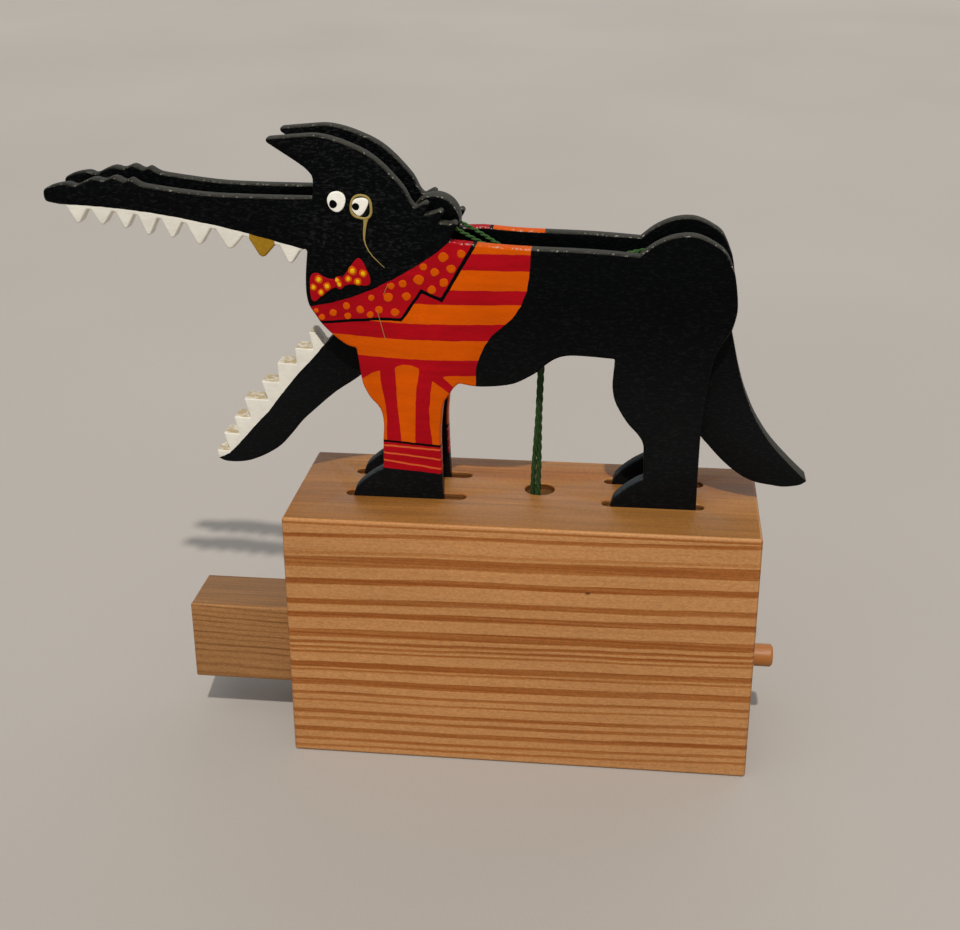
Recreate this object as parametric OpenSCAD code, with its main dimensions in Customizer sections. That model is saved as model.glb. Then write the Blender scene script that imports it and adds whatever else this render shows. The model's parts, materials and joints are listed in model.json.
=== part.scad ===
// Push-bar wolf automaton. Two painted plywood side plates stand on a solid fir
// block, and a jaw and a tail swing between them, drawn by cords from a push bar.
// The origin is the middle of the block's underside, with +X towards the tail,
// +Y away from the viewer and +Z up. Lengths are millimetres.

/* [Block] */
// Length of the block
block_l = 196; // [180:1:240]
// Depth of the block, front to back
block_d = 73; // [66:1:90]
// Height of the block
block_h = 112.5; // [100:0.5:140]
// Rounding of the block's edges
block_edge = 1.6; // [0.5:0.1:3]
// Depth of the slots that the feet are glued into
slot_depth = 12; // [8:0.5:18]
// Side clearance of a foot in its slot
slot_fit = 0.1; // [0.05:0.05:0.3]
// Length that a slot runs on past a toe, before its round end
toe_room = 0.5; // [0.2:0.1:3]
// Length that a front slot runs on behind the heel, before its round end
front_heel_room = 6.4; // [0.5:0.1:8]
// Length that a hind slot runs on behind the heel, before its round end
hind_heel_room = 0.5; // [0.2:0.1:8]
// Diameter of the cord hole in the block's top
cord_hole_d = 12.7; // [10:0.1:16]
// Place of the cord hole along the block, from its middle
cord_hole_x = 5.7; // [4:0.1:7]

/* [Figure] */
// Thickness of the two side plates
plate_t = 6; // [4.5:0.5:9]
// Gap between the side plates
plate_gap = 17.5; // [15:0.5:22]
// Middle of the gap, behind the middle of the block
figure_y = 4.25; // [0:0.25:8]
// Height of the hip line above the block
hip_h = 64.5; // [58:0.5:80]
// Place of the front toe along the block
front_toe_x = -72.5; // [-76:0.5:-69]
// Length of the front foot
front_foot_l = 38.3; // [36:0.1:41]
// Place of the hind toe along the block
hind_toe_x = 36.3; // [33:0.1:38]
// Length of the hind foot
hind_foot_l = 35.5; // [33:0.1:37]
// How much higher the far plate's back is sawn than the near one's
far_back_up = 1.5; // [0:0.5:4]
// Length of the snout from the brow to the nose
snout_l = 110; // [90:1:130]
// Number of teeth along the upper jaw
upper_teeth = 9; // [5:1:12]
// Length of the upper teeth
upper_tooth_h = 8; // [4:0.5:11]

/* [Jaw and tail] */
// Place of the jaw's pin along the block
jaw_pin_x = -58; // [-60:0.5:-56]
// Height of the jaw's pin above the hip line
jaw_pin_up = 19; // [17:0.5:21]
// Place of the tail's pin along the block
tail_pin_x = 68; // [66:0.5:70]
// Height of the tail's pin above the hip line
tail_pin_up = 23; // [21:0.5:25]
// Thickness of the jaw and of the tail
lever_t = 10; // [7:0.5:12]
// Length of the jaw from its pin to its first tooth
jaw_l = 102; // [85:1:115]
// Number of teeth along the lower jaw
lower_teeth = 8; // [5:1:10]
// Length of the tail from its pin to its tip
tail_l = 91; // [75:1:110]
// Diameter of the pins between the plates
pin_d = 6; // [4:0.5:8]
// Depth of a pin's blind hole in a plate
pin_seat = 4; // [2.5:0.5:4.2]
// Running clearance round a pin
pivot_fit = 0.08; // [0.03:0.01:0.1]
// Outer diameter of the washers beside the jaw and the tail
washer_d = 16; // [12:0.5:18]
// Side play of the jaw and of the tail between their washers
side_play = 0.3; // [0.2:0.05:0.6]

/* [Push bar] */
// Width of the push bar, front to back
bar_w = 29; // [24:0.5:36]
// Height of the push bar
bar_h = 37; // [28:0.5:40]
// Height of the bar's axis above the rest face
slide_z = 39.5; // [34:0.5:50]
// Length of bar that stands out of the block at rest
bar_out = 49.5; // [40:0.5:60]
// Clearance all round the bar in its channel
bar_fit = 0.4; // [0.2:0.1:0.8]
// Travel of the push bar
bar_travel = 35; // [20:1:38]
// Diameter of the guide rod
rod_d = 10; // [8:0.5:12]
// Length of rod that stands out of the block at rest
rod_out = 11; // [8:0.5:20]
// Length of rod glued into the bar
rod_seat = 30; // [20:1:40]
// Diameter of the peg that the cords are tied to
peg_d = 5; // [4:0.5:6]
// Thickness of the bottom plate
floor_t = 4; // [3:0.5:6]

/* [Cord] */
// Diameter of one strand of cord
strand_d = 1.5; // [1.2:0.1:1.8]
// Diameter of the two strands twisted together
cord_d = 2.2; // [1.8:0.1:2.4]

/* [Hidden] */
$fn = 48;
cut = 1;          // how far a cutter runs past the face it opens
glue_fit = 0.05;  // radial room of a glued or pressed round piece
soft_gap = 0.35;  // room between a cord and what it passes

// Heights and planes
hip_z = block_h + hip_h;
near_y = figure_y - plate_gap / 2 - plate_t;
far_y = figure_y + plate_gap / 2;
lever_y = figure_y - lever_t / 2;

// Pins between the plates, as [x, height above the hip line]
function on_hip(p) = [p[0], hip_z + p[1]];
jaw_pivot = on_hip([jaw_pin_x, jaw_pin_up]);
tail_pivot = on_hip([tail_pin_x, tail_pin_up]);
guide_up = 28.5;
cord_side = cord_d / 2 + 0.1;
pair_turn = 70;   // how far the two cords wind about each other on their way down
top_side = cord_side * cos(pair_turn);
top_y = cord_side * sin(pair_turn);
guide_reach = pin_d / 2 + cord_d / 2 + 0.15;
cord_top_x = 6.8;
front_guide = on_hip([cord_top_x - top_side - guide_reach, guide_up]);
rear_guide = on_hip([cord_top_x + top_side + guide_reach, guide_up]);
pin_end_gap = 0.2;
washer_fit = 0.15;
washer_t = (plate_gap - lever_t) / 2 - side_play;

// Push bar, channel and what lies in it
peg_x = 2.2;
bar_in_x = peg_x - 14;
stop_gap = 0.5;
knot_ring_r = peg_d / 2 + cord_d / 2 + glue_fit;
channel_x = peg_x + bar_travel + knot_ring_r + cord_d / 2 + stop_gap;
channel_w = bar_w + 2 * bar_fit;
channel_h = bar_h + 2 * bar_fit;
bar_floor_l = 40;
pocket_x = bar_floor_l - block_l / 2;
rod_fit = 0.1;
rod_chamfer = 1;
bar_edge = 1.4;
peg_below = 4;
peg_above = 9;
ledge = 6;
floor_fit = 0.2;
screw_d = 3;
screw_head_d = 6;
screw_head_h = 1.8;
screw_l = 14;
screw_inset = 3;

// Jaw and tail outlines are drawn round their pins at these lengths
jaw_drawn_l = 102;
tail_drawn_l = 91;
jaw_lobe = [20.5, 33.5];
jaw_lobe_r = 10;
tail_lobe = [-3.5, 14.5];
tail_lobe_r = 9;
loop_hole_d = strand_d + 1;
jaw_eye = jaw_pivot + [25, 33];
tail_eye = tail_pivot + [-7, 19.8];

// Drop of the cords, from the guides to just above the channel
drop_end_z = slide_z + channel_h / 2 + 4;
strand_y = lever_t / 2 + strand_d / 2 + soft_gap;
knot_z = slide_z + rod_d / 2 + cord_d / 2 + soft_gap;
tube_sides = 8;

// Curve through points, without its last point, so that stretches can be chained
function curve(p, n = 4) = [for (i = [0 : len(p) - 2])
    let (a = p[max(i - 1, 0)], b = p[i], c = p[i + 1], d = p[min(i + 2, len(p) - 1)])
    for (k = [0 : n - 1]) let (t = k / n)
        b + (c - a) * t / 2 + (2 * a - 5 * b + 4 * c - d) * t ^ 2 / 2
          + (3 * b - a - 3 * c + d) * t ^ 3 / 2];

// Points measured from the hip line, and from the block's top
function up(p) = [for (q = p) [q[0], hip_z + q[1]]];
function low(p) = [for (q = p) [q[0], block_h + q[1]]];
function arc(c, r, a0, a1, n) = [for (i = [0 : n]) let (a = a0 + (a1 - a0) * i / n)
    c + r * [cos(a), sin(a)]];

// Feet and legs
ankle = [13.2, 13.2];
front_heel_x = front_toe_x + front_foot_l;
hind_heel_x = hind_toe_x + hind_foot_l;
function foot_top(x) = low([for (q = [[0, 0], [1.2, 3.9], [4, 6.9], [8, 10.2], [11.5, 12.4], ankle])
    [x + q[0], q[1]]]);
function leg_up(x, lows, ups) = concat(low([for (q = lows) [x + q[0], q[1]]]),
                                       up([for (q = ups) [x + q[0], q[1]]]));
function tenon(toe, heel) = low([[heel, 0], [heel, -slot_depth], [toe, -slot_depth]]);
chest_corner = [-69.1, 1.2];
flank_corner = [36.4, -0.1];
elbow_corner = [-27, -12.7];
hock_corner = [82, 13.6];

// Snout: the gum line falls from the nose to the mouth corner, and carries the teeth
brow = [-84.6, 62.6];
nose_x = brow[0] - snout_l;
gum_front = [nose_x + 8.6, 57.35];
mouth_corner = [-90, 41.7];
gum_bend = 1.8;
tooth_spread = 1.09;
// Hand-sawn teeth differ in length and in place
tooth_cut = [0.91, 0.9, 0.97, 1.16, 1.08, 1.15, 1, 0.98, 0.92];
tooth_nudge = [0, 0.011, 0.015, 0, -0.012, -0.021, -0.014, 0.005, 0.022];
function gum(t) = [gum_front[0] + (mouth_corner[0] - gum_front[0]) * t,
                   gum_front[1] + (mouth_corner[1] - gum_front[1]) * t ^ gum_bend];
function tooth_start(i) = (i / upper_teeth) ^ tooth_spread
    + (i < upper_teeth ? tooth_nudge[i % len(tooth_nudge)] : 0);
// One tooth, as [share of its width, share of its length], from its rear valley
tooth_form = [[0.92, 0.16], [0.8, 0.44], [0.6, 0.9], [0.5, 1], [0.4, 0.95], [0.2, 0.46], [0.08, 0.17]];
function upper_tooth(i) = let (t0 = tooth_start(i), t1 = tooth_start(i + 1))
    [for (q = tooth_form) let (t = t0 + (t1 - t0) * q[0])
        gum(t) - [0, upper_tooth_h * tooth_cut[i % len(tooth_cut)] * q[1]]];
upper_tooth_row = [for (i = [upper_teeth - 1 : -1 : 0]) each upper_tooth(i)];

nose_line = [[0, 0], [-5.6, 0.95], [-7.9, 1.7], [-8.6, 3.8], [-8, 6.4], [-4.1, 8.1], [1.4, 9],
             [4.9, 8.1], [9.3, 10.1], [13, 11.2], [16.9, 10.5], [21.2, 12], [25.2, 10.3],
             [27.9, 11.2], [31, 9.5], [35.4, 8.4]];
snout_top = [brow - [45.4, -0.7], brow - [30, -0.1], brow - [15, 0], brow];
ear_front = [brow, [-84.1, 70], [-85.7, 73], [-89.3, 76], [-98, 81.6], [-101.3, 83.7]];
ear_tip = [[-101.3, 83.7], [-102.3, 84.8]];
ear_back = [[-101.5, 85.8], [-90, 86.9], [-82.9, 87.3], [-76.4, 86.2], [-70, 84.1], [-62.9, 80.9],
            [-57, 76.6], [-51.4, 70.9], [-47.9, 66.6], [-45.7, 62.3], [-43.7, 59.8]];

// Mane: three tufts that hook forward over the neck
tuft_tips = [[-38.6, 61.5], [-32.9, 58.5], [-27.4, 54]];
tuft_form = [[-2.8, -0.3], [-1.2, 0.4], [0, -0.2], [0.1, -1.6], [-1, -3.4]];
tuft_foot = [-1.3, -4.5];
nape = [-30.5, 46.4];
function tuft_start(i) = i == 0 ? ear_back[len(ear_back) - 1] : tuft_tips[i - 1] + tuft_foot;
function tuft_end(i) = i == len(tuft_tips) - 1 ? nape : tuft_tips[i] + tuft_foot;
mane = [for (i = [0 : len(tuft_tips) - 1])
    each curve(concat([tuft_start(i)], [for (q = tuft_form) tuft_tips[i] + q], [tuft_end(i)]), 2)];

// The back and the rump, which the far plate carries a little higher
function lifted(p, rise) = [for (q = p) q + [0, rise]];
back_top = [[-20, 45.5], [-8, 44.7], [2, 44.3], [25, 43.8], [44.4, 42.6]];
rump_top = [[44.4, 42.6], [49.6, 46.9], [55, 49.7], [60, 51.1], [65, 51.3], [68.9, 50.3], [72.8, 48.4],
            [76.7, 45.8]];
rump_end = [[78.9, 43], [80.6, 39.1], [82.2, 34.1]];
function back_line(rise) = concat([nape], lifted(back_top, rise));
function rump(rise) = concat(lifted(rump_top, rise), lifted(rump_end, rise / 2),
                             [[83.6, 23.6], [83.1, 18], hock_corner]);
chest = [chest_corner, [-72.9, 2.3], [-77.9, 5.9], [-82.9, 10.9], [-85.7, 15.1], [-87.9, 18.7],
         [-88.8, 23], [-88.9, 28], [-88.5, 34], [-87.6, 41.4]];
belly = [flank_corner, [28, 0.5], [20, 0.8], [15.4, 0.3], [11.7, -1.2], [8.3, -3.7], [5.8, -6.2],
         [0, -9.9], [-5, -12.2], [-11.7, -13.4], [-20, -13.8], elbow_corner];

front_shin = concat(leg_up(front_toe_x, [ankle, [13.4, 25.5]],
    [[13.8, -31.3], [12.5, -24.9], [8.9, -20.6], [6.8, -17], [5.4, -13.4], [4.3, -5.6]]),
    up([chest_corner]));
front_calf = concat(up([elbow_corner]), up([for (q = [[4.9, -14.9], [3.1, -17.7], [0.6, -22],
    [-0.3, -29], [-0.8, -38.4]]) [front_heel_x + q[0], q[1]]]), low([[front_heel_x, 0]]));
hind_shin = concat(leg_up(hind_toe_x, [ankle, [12.9, 24]],
    [[12.5, -36.2], [10.4, -32.4], [6.2, -27.8], [2.9, -22.8], [0.4, -17.8], [-0.7, -12], [-0.5, -6.2]]),
    up([flank_corner]));
hind_calf = concat(up([for (q = [[4.7, 4], [3.4, -1], [1.8, -12], [0.8, -22], [0.2, -31]])
    [hind_heel_x + q[0], q[1]]]), low([[hind_heel_x, 16.5], [hind_heel_x, 0]]));

function side_outline(rise) = concat(
    curve(foot_top(front_toe_x), 2), curve(front_shin, 3), curve(up(chest), 3),
    up([chest[len(chest) - 1], mouth_corner + [1.1, 0.4]]),
    up(upper_tooth_row),
    curve(up(concat([for (q = nose_line) gum_front + q], snout_top)), 3),
    curve(up(ear_front), 3), up(ear_tip), curve(up(ear_back), 3), up(mane),
    curve(up(back_line(rise)), 3), curve(up(rump(rise)), 3), up([hock_corner]),
    curve(hind_calf, 3), tenon(hind_toe_x, hind_heel_x),
    curve(foot_top(hind_toe_x), 2), curve(hind_shin, 3), curve(up(belly), 3),
    curve(front_calf, 3), tenon(front_toe_x, front_heel_x));

// Lower jaw, round its pin: a staircase of teeth above a long chin
function jaw_scale(p) = [for (q = p) q * jaw_l / jaw_drawn_l];
jaw_row_start = [-76, -68];
jaw_row_end = [-33, -14.7];
jaw_row_bow = 1.15;
tooth_lean = [2.4, 1.7, 2.4, 2.4, 0.4, 0.5, 1.5];
jaw_nudge = [[0, -1.2], [-1.2, -0.8], [-1.7, -0.8], [-2.8, 0], [-1.1, 0.5], [-0.4, 1.3], [0.7, 0.5], [0, 0]];
function jaw_tooth(i) = let (t = i / (lower_teeth - 1))
    [jaw_row_start[0] + (jaw_row_end[0] - jaw_row_start[0]) * t ^ jaw_row_bow,
     jaw_row_start[1] + (jaw_row_end[1] - jaw_row_start[1]) * t] + jaw_nudge[i % len(jaw_nudge)];
lower_tooth_row = [for (i = [0 : lower_teeth - 2]) let (a = jaw_tooth(i), b = jaw_tooth(i + 1))
    each [a, [b[0] + tooth_lean[i % len(tooth_lean)], a[1] - 0.4]]];
last_tooth = [jaw_row_end, jaw_row_end + [2.4, 0]];
gum_end = [[-26.8, -20.2], [-23.5, -16.7]];
jaw_throat = [[-17, -8.5], [-11, 1], [-4, 12.5], [4, 25.5], [12, 38.4]];
jaw_nape = [[29, 28.4], [21.5, 14], [14, 0], [6.5, -13], [-2.5, -24.5]];
chin = [[-12.5, -33.7], [-22.5, -40.7], [-32.5, -49.6], [-37.5, -54.4], [-42.5, -60.6], [-47.5, -66.1],
        [-52.5, -69.6], [-57.5, -72.2], [-62.5, -74], [-67.5, -74.7], [-72.5, -74.5], [-75.5, -73.2]];
jaw_outline = concat(jaw_scale(lower_tooth_row), jaw_scale(last_tooth),
    curve(concat(jaw_scale(gum_end), jaw_throat)), [jaw_throat[len(jaw_throat) - 1]],
    curve(concat(jaw_nape, jaw_scale(chin)), 3), jaw_scale([chin[len(chin) - 1]]));

// Tail, round its pin
function tail_scale(p) = [for (q = p) q[1] < 0 ? q * tail_l / tail_drawn_l : q];
tail_tip = [49, -76.7];
tail_top = [[5.2, 15.5], [10, 10.5], [12.5, 3], [13.5, -5], [14.5, -13], [16, -19.5], [18, -28],
            [20.5, -36.5], [23, -43], [26, -49.5], [29, -54.5], [32, -59], [36, -63.8], [40, -68],
            [44, -72], tail_tip];
tail_under = [tail_tip, [46.5, -78.5], [43, -79.3], [39, -79.7], [35, -79.2], [30, -78.5], [27, -77.7],
              [23, -76], [19, -73.3], [15, -70], [11, -66], [7, -61.5], [4.5, -58.7], [0, -52],
              [-4, -43], [-7, -32], [-9, -20], [-11, -8], [-12.5, 5], [-12.2, 15.5]];
tail_outline = concat(curve(tail_scale(tail_top), 2), curve(tail_scale(tail_under), 2),
                      [tail_under[len(tail_under) - 1]]);

// Cord routes
function tangent(c, r, p, side) = let (d = p - c)
    atan2(d[1], d[0]) + side * acos(r / norm(d));
jaw_wrap = tangent(front_guide, guide_reach, jaw_eye, -1);
tail_wrap = tangent(rear_guide, guide_reach, tail_eye, 1);
function drop_path(guide, a0, a1, side) = concat(
    [for (q = arc(guide, guide_reach, a0, a1, 4)) [q[0], figure_y + side * top_y, q[1]]],
    [for (i = [1 : 6]) let (z = hip_z + guide_up + (drop_end_z - hip_z - guide_up) * i / 6,
                            x = peg_x + (cord_top_x - peg_x) * (1 - i / 6), a = pair_turn * (1 - i / 6))
        [x + side * cord_side * cos(a), figure_y + side * cord_side * sin(a), z]]);
// A run keeps clear of the lever's face for its first third, and its strands then close up
function run_y(i, side, lean) = let (share = max(i - 1, 0) / 2)
    side * (strand_y + (strand_d / 2 + 0.1 - strand_y) * share) + lean * top_y * share;
function run_path(eye, guide, a0, side, lean) = let (
    e = guide + guide_reach * [cos(a0), sin(a0)],
    along = (e - eye) / norm(e - eye),
    start = eye + along * (strand_d + soft_gap),
    end = e - along * soft_gap)
    [for (i = [0 : 3]) let (q = start + (end - start) * i / 3)
        [q[0], figure_y + run_y(i, side, lean), q[1]]];
function tie_path(side) = [[peg_x + side * cord_side, figure_y, drop_end_z - soft_gap],
    [peg_x + side * cord_side, figure_y - 0.1, (drop_end_z + knot_z) / 2],
    [peg_x + side * cord_side, knot_ring_r, knot_z + cord_d / 2 + soft_gap]];

function unit(v) = v / norm(v);

// Tube swept along a route in or near the XZ plane
module tube(path, d) {
    last = len(path) - 1;
    ways = [for (i = [0 : last]) unit(path[min(i + 1, last)] - path[max(i - 1, 0)])];
    rings = [for (i = [0 : last]) let (n = unit(cross(ways[i], [0, 1, 0])), m = cross(n, ways[i]))
        each [for (k = [0 : tube_sides - 1]) let (a = 360 * k / tube_sides)
            path[i] + d / 2 * (cos(a) * n + sin(a) * m)]];
    walls = [for (i = [0 : last - 1], k = [0 : tube_sides - 1])
        let (a = i * tube_sides + k, b = i * tube_sides + (k + 1) % tube_sides)
        each [[a, b, b + tube_sides], [a, b + tube_sides, a + tube_sides]]];
    start_cap = [for (k = [1 : tube_sides - 2]) [0, k + 1, k]];
    end_cap = [for (k = [1 : tube_sides - 2]) let (e = last * tube_sides) [e, e + k, e + k + 1]];
    polyhedron(rings, [for (f = concat(walls, start_cap, end_cap)) [f[0], f[2], f[1]]], convexity = 4);
}

// Flat shape in the XZ plane, t thick from y0 backwards
module upright(y0, t) {
    translate([0, y0 + t, 0]) rotate([90, 0, 0]) linear_extrude(height = t, convexity = 10) children();
}

module round_rect(l, w, r) {
    square([l - 2 * r, w], center = true);
    square([l, w - 2 * r], center = true);
    for (x = [-1, 1], y = [-1, 1]) translate([x * (l / 2 - r), y * (w / 2 - r)]) circle(r = r);
}

// Box with round edges, centred on its own middle
module round_box(l, d, h, r) {
    intersection() {
        translate([0, 0, -h / 2]) linear_extrude(height = h) round_rect(l, d, r);
        translate([0, d / 2, 0]) rotate([90, 0, 0]) linear_extrude(height = d) round_rect(l, h, r);
        translate([-l / 2, 0, 0]) rotate([90, 0, 90]) linear_extrude(height = l) round_rect(d, h, r);
    }
}

module rod_x(x0, x1, d) {
    translate([x0, 0, slide_z]) rotate([0, 90, 0]) cylinder(d = d, h = x1 - x0);
}

module rod_y(at, y0, y1, d) {
    translate([at[0], y1, at[1]]) rotate([90, 0, 0]) cylinder(d = d, h = y1 - y0);
}

module foot_slot(y0, toe, heel, heel_room) {
    w = plate_t + 2 * slot_fit;
    x0 = toe - toe_room;
    x1 = heel + heel_room;
    translate([0, y0 - slot_fit, block_h - slot_depth]) {
        translate([x0, 0, 0]) cube([x1 - x0, w, slot_depth + cut]);
        for (x = [x0, x1]) translate([x, w / 2, 0]) cylinder(d = w, h = slot_depth + cut);
    }
}

module screw_places() {
    for (x = [pocket_x - screw_inset, channel_x + screw_inset], y = [-1, 1])
        translate([x, y * (channel_w / 2 + screw_inset), 0]) children();
}

module base_block() {
    color("burlywood") difference() {
        translate([0, 0, block_h / 2]) round_box(block_l, block_d, block_h, block_edge);
        for (y = [near_y, far_y]) {
            foot_slot(y, front_toe_x, front_heel_x, front_heel_room);
            foot_slot(y, hind_toe_x, hind_heel_x, hind_heel_room);
        }
        translate([cord_hole_x, figure_y, slide_z]) cylinder(d = cord_hole_d, h = block_h);
        translate([-block_l / 2 - cut, -channel_w / 2, slide_z - channel_h / 2])
            cube([channel_x + block_l / 2 + cut, channel_w, channel_h]);
        translate([pocket_x, -channel_w / 2, -cut])
            cube([channel_x - pocket_x, channel_w, slide_z + cut]);
        translate([pocket_x - ledge, -channel_w / 2 - ledge, -cut])
            cube([channel_x - pocket_x + 2 * ledge, channel_w + 2 * ledge, floor_t + cut]);
        rod_x(channel_x - cut, block_l / 2 + cut, rod_d + 2 * rod_fit);
        screw_places() cylinder(d = screw_d + 2 * glue_fit, h = screw_l + cut);
    }
}

module bottom_plate() {
    lip = ledge - floor_fit;
    color("tan") difference() {
        translate([pocket_x - lip, -channel_w / 2 - lip, 0])
            cube([channel_x - pocket_x + 2 * lip, channel_w + 2 * lip, floor_t]);
        screw_places() {
            translate([0, 0, -cut]) cylinder(d = screw_d + 2 * glue_fit, h = floor_t + 2 * cut);
            translate([0, 0, -cut]) cylinder(d = screw_head_d + 2 * glue_fit, h = screw_head_h + cut);
        }
    }
}

module bottom_plate_screws() {
    color("silver") screw_places() {
        cylinder(d = screw_head_d, h = screw_head_h);
        cylinder(d = screw_d, h = screw_l);
    }
}

// Side plate with its blind pin holes in the face that looks at the other plate
module side_plate(y0, hole_y, rise) {
    difference() {
        upright(y0, plate_t) polygon(side_outline(rise));
        for (p = [jaw_pivot, tail_pivot, front_guide, rear_guide])
            rod_y(p, hole_y, hole_y + pin_seat + cut, pin_d + 2 * glue_fit);
    }
}

module near_side() {
    color("#1c1c1c") side_plate(near_y, near_y + plate_t - pin_seat, 0);
}

module far_side() {
    color("#1c1c1c") side_plate(far_y, far_y - cut, far_back_up);
}

module plate_pin(at) {
    color("peru") rod_y(at, near_y + plate_t - pin_seat + pin_end_gap, far_y + pin_seat - pin_end_gap, pin_d);
}

module pin_washers(at) {
    color("tan") for (y = [near_y + plate_t, far_y - washer_t]) difference() {
        rod_y(at, y, y + washer_t, washer_d);
        rod_y(at, y - cut, y + washer_t + cut, pin_d + 2 * washer_fit);
    }
}

module jaw_pin() plate_pin(jaw_pivot);
module tail_pin() plate_pin(tail_pivot);
module front_cord_guide() plate_pin(front_guide);
module rear_cord_guide() plate_pin(rear_guide);
module jaw_washers() pin_washers(jaw_pivot);
module tail_washers() pin_washers(tail_pivot);

module lever(pivot, outline, lobe, lobe_r, eye) {
    difference() {
        union() {
            upright(lever_y, lever_t) translate(pivot) polygon(outline);
            rod_y(pivot + lobe, lever_y, lever_y + lever_t, 2 * lobe_r);
        }
        rod_y(pivot, lever_y - cut, lever_y + lever_t + cut, pin_d + 2 * pivot_fit);
        rod_y(eye, lever_y - cut, lever_y + lever_t + cut, loop_hole_d);
    }
}

module lower_jaw() {
    color("#1c1c1c") lever(jaw_pivot, jaw_outline, jaw_lobe, jaw_lobe_r, jaw_eye);
}

module tail() {
    color("#1c1c1c") lever(tail_pivot, tail_outline, tail_lobe, tail_lobe_r, tail_eye);
}

module cord_loop(eye) {
    reach = strand_y + strand_d / 2;
    color("darkgreen") rod_y(eye, figure_y - reach, figure_y + reach, strand_d);
}

module jaw_cord_loop() cord_loop(jaw_eye);
module tail_cord_loop() cord_loop(tail_eye);

module push_bar() {
    x0 = -block_l / 2 - bar_out;
    color("sienna") difference() {
        translate([(x0 + bar_in_x) / 2, 0, slide_z]) round_box(bar_in_x - x0, bar_w, bar_h, bar_edge);
        rod_x(bar_in_x - rod_seat, bar_in_x + cut, rod_d + 2 * glue_fit);
    }
}

module guide_rod() {
    x1 = block_l / 2 + rod_out;
    color("peru") difference() {
        union() {
            rod_x(bar_in_x - rod_seat, x1 - rod_chamfer, rod_d);
            translate([x1 - rod_chamfer, 0, slide_z]) rotate([0, 90, 0])
                cylinder(d1 = rod_d, d2 = rod_d - 2 * rod_chamfer, h = rod_chamfer);
        }
        translate([peg_x, 0, slide_z - rod_d]) cylinder(d = peg_d + 2 * glue_fit, h = 2 * rod_d);
    }
}

module cord_peg() {
    color("peru") translate([peg_x, 0, slide_z - rod_d / 2 - peg_below])
        cylinder(d = peg_d, h = rod_d + peg_below + peg_above);
}

module peg_knot() {
    color("darkgreen") translate([peg_x, 0, knot_z]) rotate_extrude()
        translate([knot_ring_r, 0]) circle(d = cord_d, $fn = 24);
}

module cord_run(eye, guide, wrap, lean) {
    color("darkgreen") for (side = [-1, 1]) tube(run_path(eye, guide, wrap, side, lean), strand_d);
}

module jaw_cord_run() cord_run(jaw_eye, front_guide, jaw_wrap, -1);
module tail_cord_run() cord_run(tail_eye, rear_guide, tail_wrap, 1);

module jaw_cord_drop() {
    color("darkgreen") tube(drop_path(front_guide, jaw_wrap, 0, -1), cord_d);
}

module tail_cord_drop() {
    color("darkgreen") tube(drop_path(rear_guide, tail_wrap, 180, 1), cord_d);
}

module jaw_cord_tie() {
    color("darkgreen") tube(tie_path(-1), cord_d);
}

module tail_cord_tie() {
    color("darkgreen") tube(tie_path(1), cord_d);
}

base_block();
bottom_plate();
bottom_plate_screws();
near_side();
far_side();
jaw_pin();
jaw_washers();
tail_pin();
tail_washers();
front_cord_guide();
rear_cord_guide();
push_bar();
guide_rod();
cord_peg();
peg_knot();
lower_jaw();
jaw_cord_loop();
tail();
tail_cord_loop();
jaw_cord_run();
jaw_cord_drop();
jaw_cord_tie();
tail_cord_run();
tail_cord_drop();
tail_cord_tie();
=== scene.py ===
"""Dresses the push-bar wolf automaton: fir block, painted side plates, jaw, tail and green cords.

Sizes in the classes are millimetres in the part's own frame: the origin is the middle of the
block's underside, +X points to the tail, +Y away from the viewer and +Z up.
"""

from __future__ import annotations

import json
import logging
import math
import random
from dataclasses import dataclass, field
from enum import Enum
from typing import Any, Callable, Iterator, Mapping, Optional, Sequence, Union

import bpy
from mathutils import Matrix, Vector

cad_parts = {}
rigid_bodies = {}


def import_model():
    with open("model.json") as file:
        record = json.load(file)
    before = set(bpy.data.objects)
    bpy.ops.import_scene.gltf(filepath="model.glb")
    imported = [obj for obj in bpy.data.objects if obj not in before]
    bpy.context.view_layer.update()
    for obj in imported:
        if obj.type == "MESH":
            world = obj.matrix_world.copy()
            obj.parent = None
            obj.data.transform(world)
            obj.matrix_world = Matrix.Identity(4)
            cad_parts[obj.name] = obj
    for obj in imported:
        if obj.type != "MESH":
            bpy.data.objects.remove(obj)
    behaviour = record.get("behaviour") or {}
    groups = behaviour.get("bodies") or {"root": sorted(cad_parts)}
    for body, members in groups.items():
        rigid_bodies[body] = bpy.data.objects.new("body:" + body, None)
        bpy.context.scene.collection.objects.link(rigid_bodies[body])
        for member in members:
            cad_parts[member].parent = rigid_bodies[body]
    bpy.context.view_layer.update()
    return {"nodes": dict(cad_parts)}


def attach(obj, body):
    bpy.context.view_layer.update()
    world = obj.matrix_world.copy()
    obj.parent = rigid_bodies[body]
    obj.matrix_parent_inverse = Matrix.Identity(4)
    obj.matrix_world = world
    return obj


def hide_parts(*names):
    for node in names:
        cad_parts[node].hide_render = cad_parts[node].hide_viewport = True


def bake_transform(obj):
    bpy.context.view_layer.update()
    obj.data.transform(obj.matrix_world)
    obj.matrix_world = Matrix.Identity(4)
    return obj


LOG = logging.getLogger("wolf_automaton")
MM = 0.001
SPECULAR = "Specular IOR Level"

Point2 = tuple[float, float]
Point3 = tuple[float, float, float]
Line = tuple[Point2, ...]
Colour = tuple[float, float, float]
Key = Union[str, int]
Operand = Union["Wire", float, int]
Feed = Union["Wire", float, int, str, Sequence[float]]


class Body(Enum):
    """The bodies that the pieces ride on."""

    BASE = "base"
    SLIDER = "slider"
    JAW = "jaw"
    TAIL = "tail"


class Slot(Enum):
    """Names of two finishes in the record, which nothing in this script uses."""

    PAINT = "black_paint"
    CORD = "green_cord"


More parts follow.
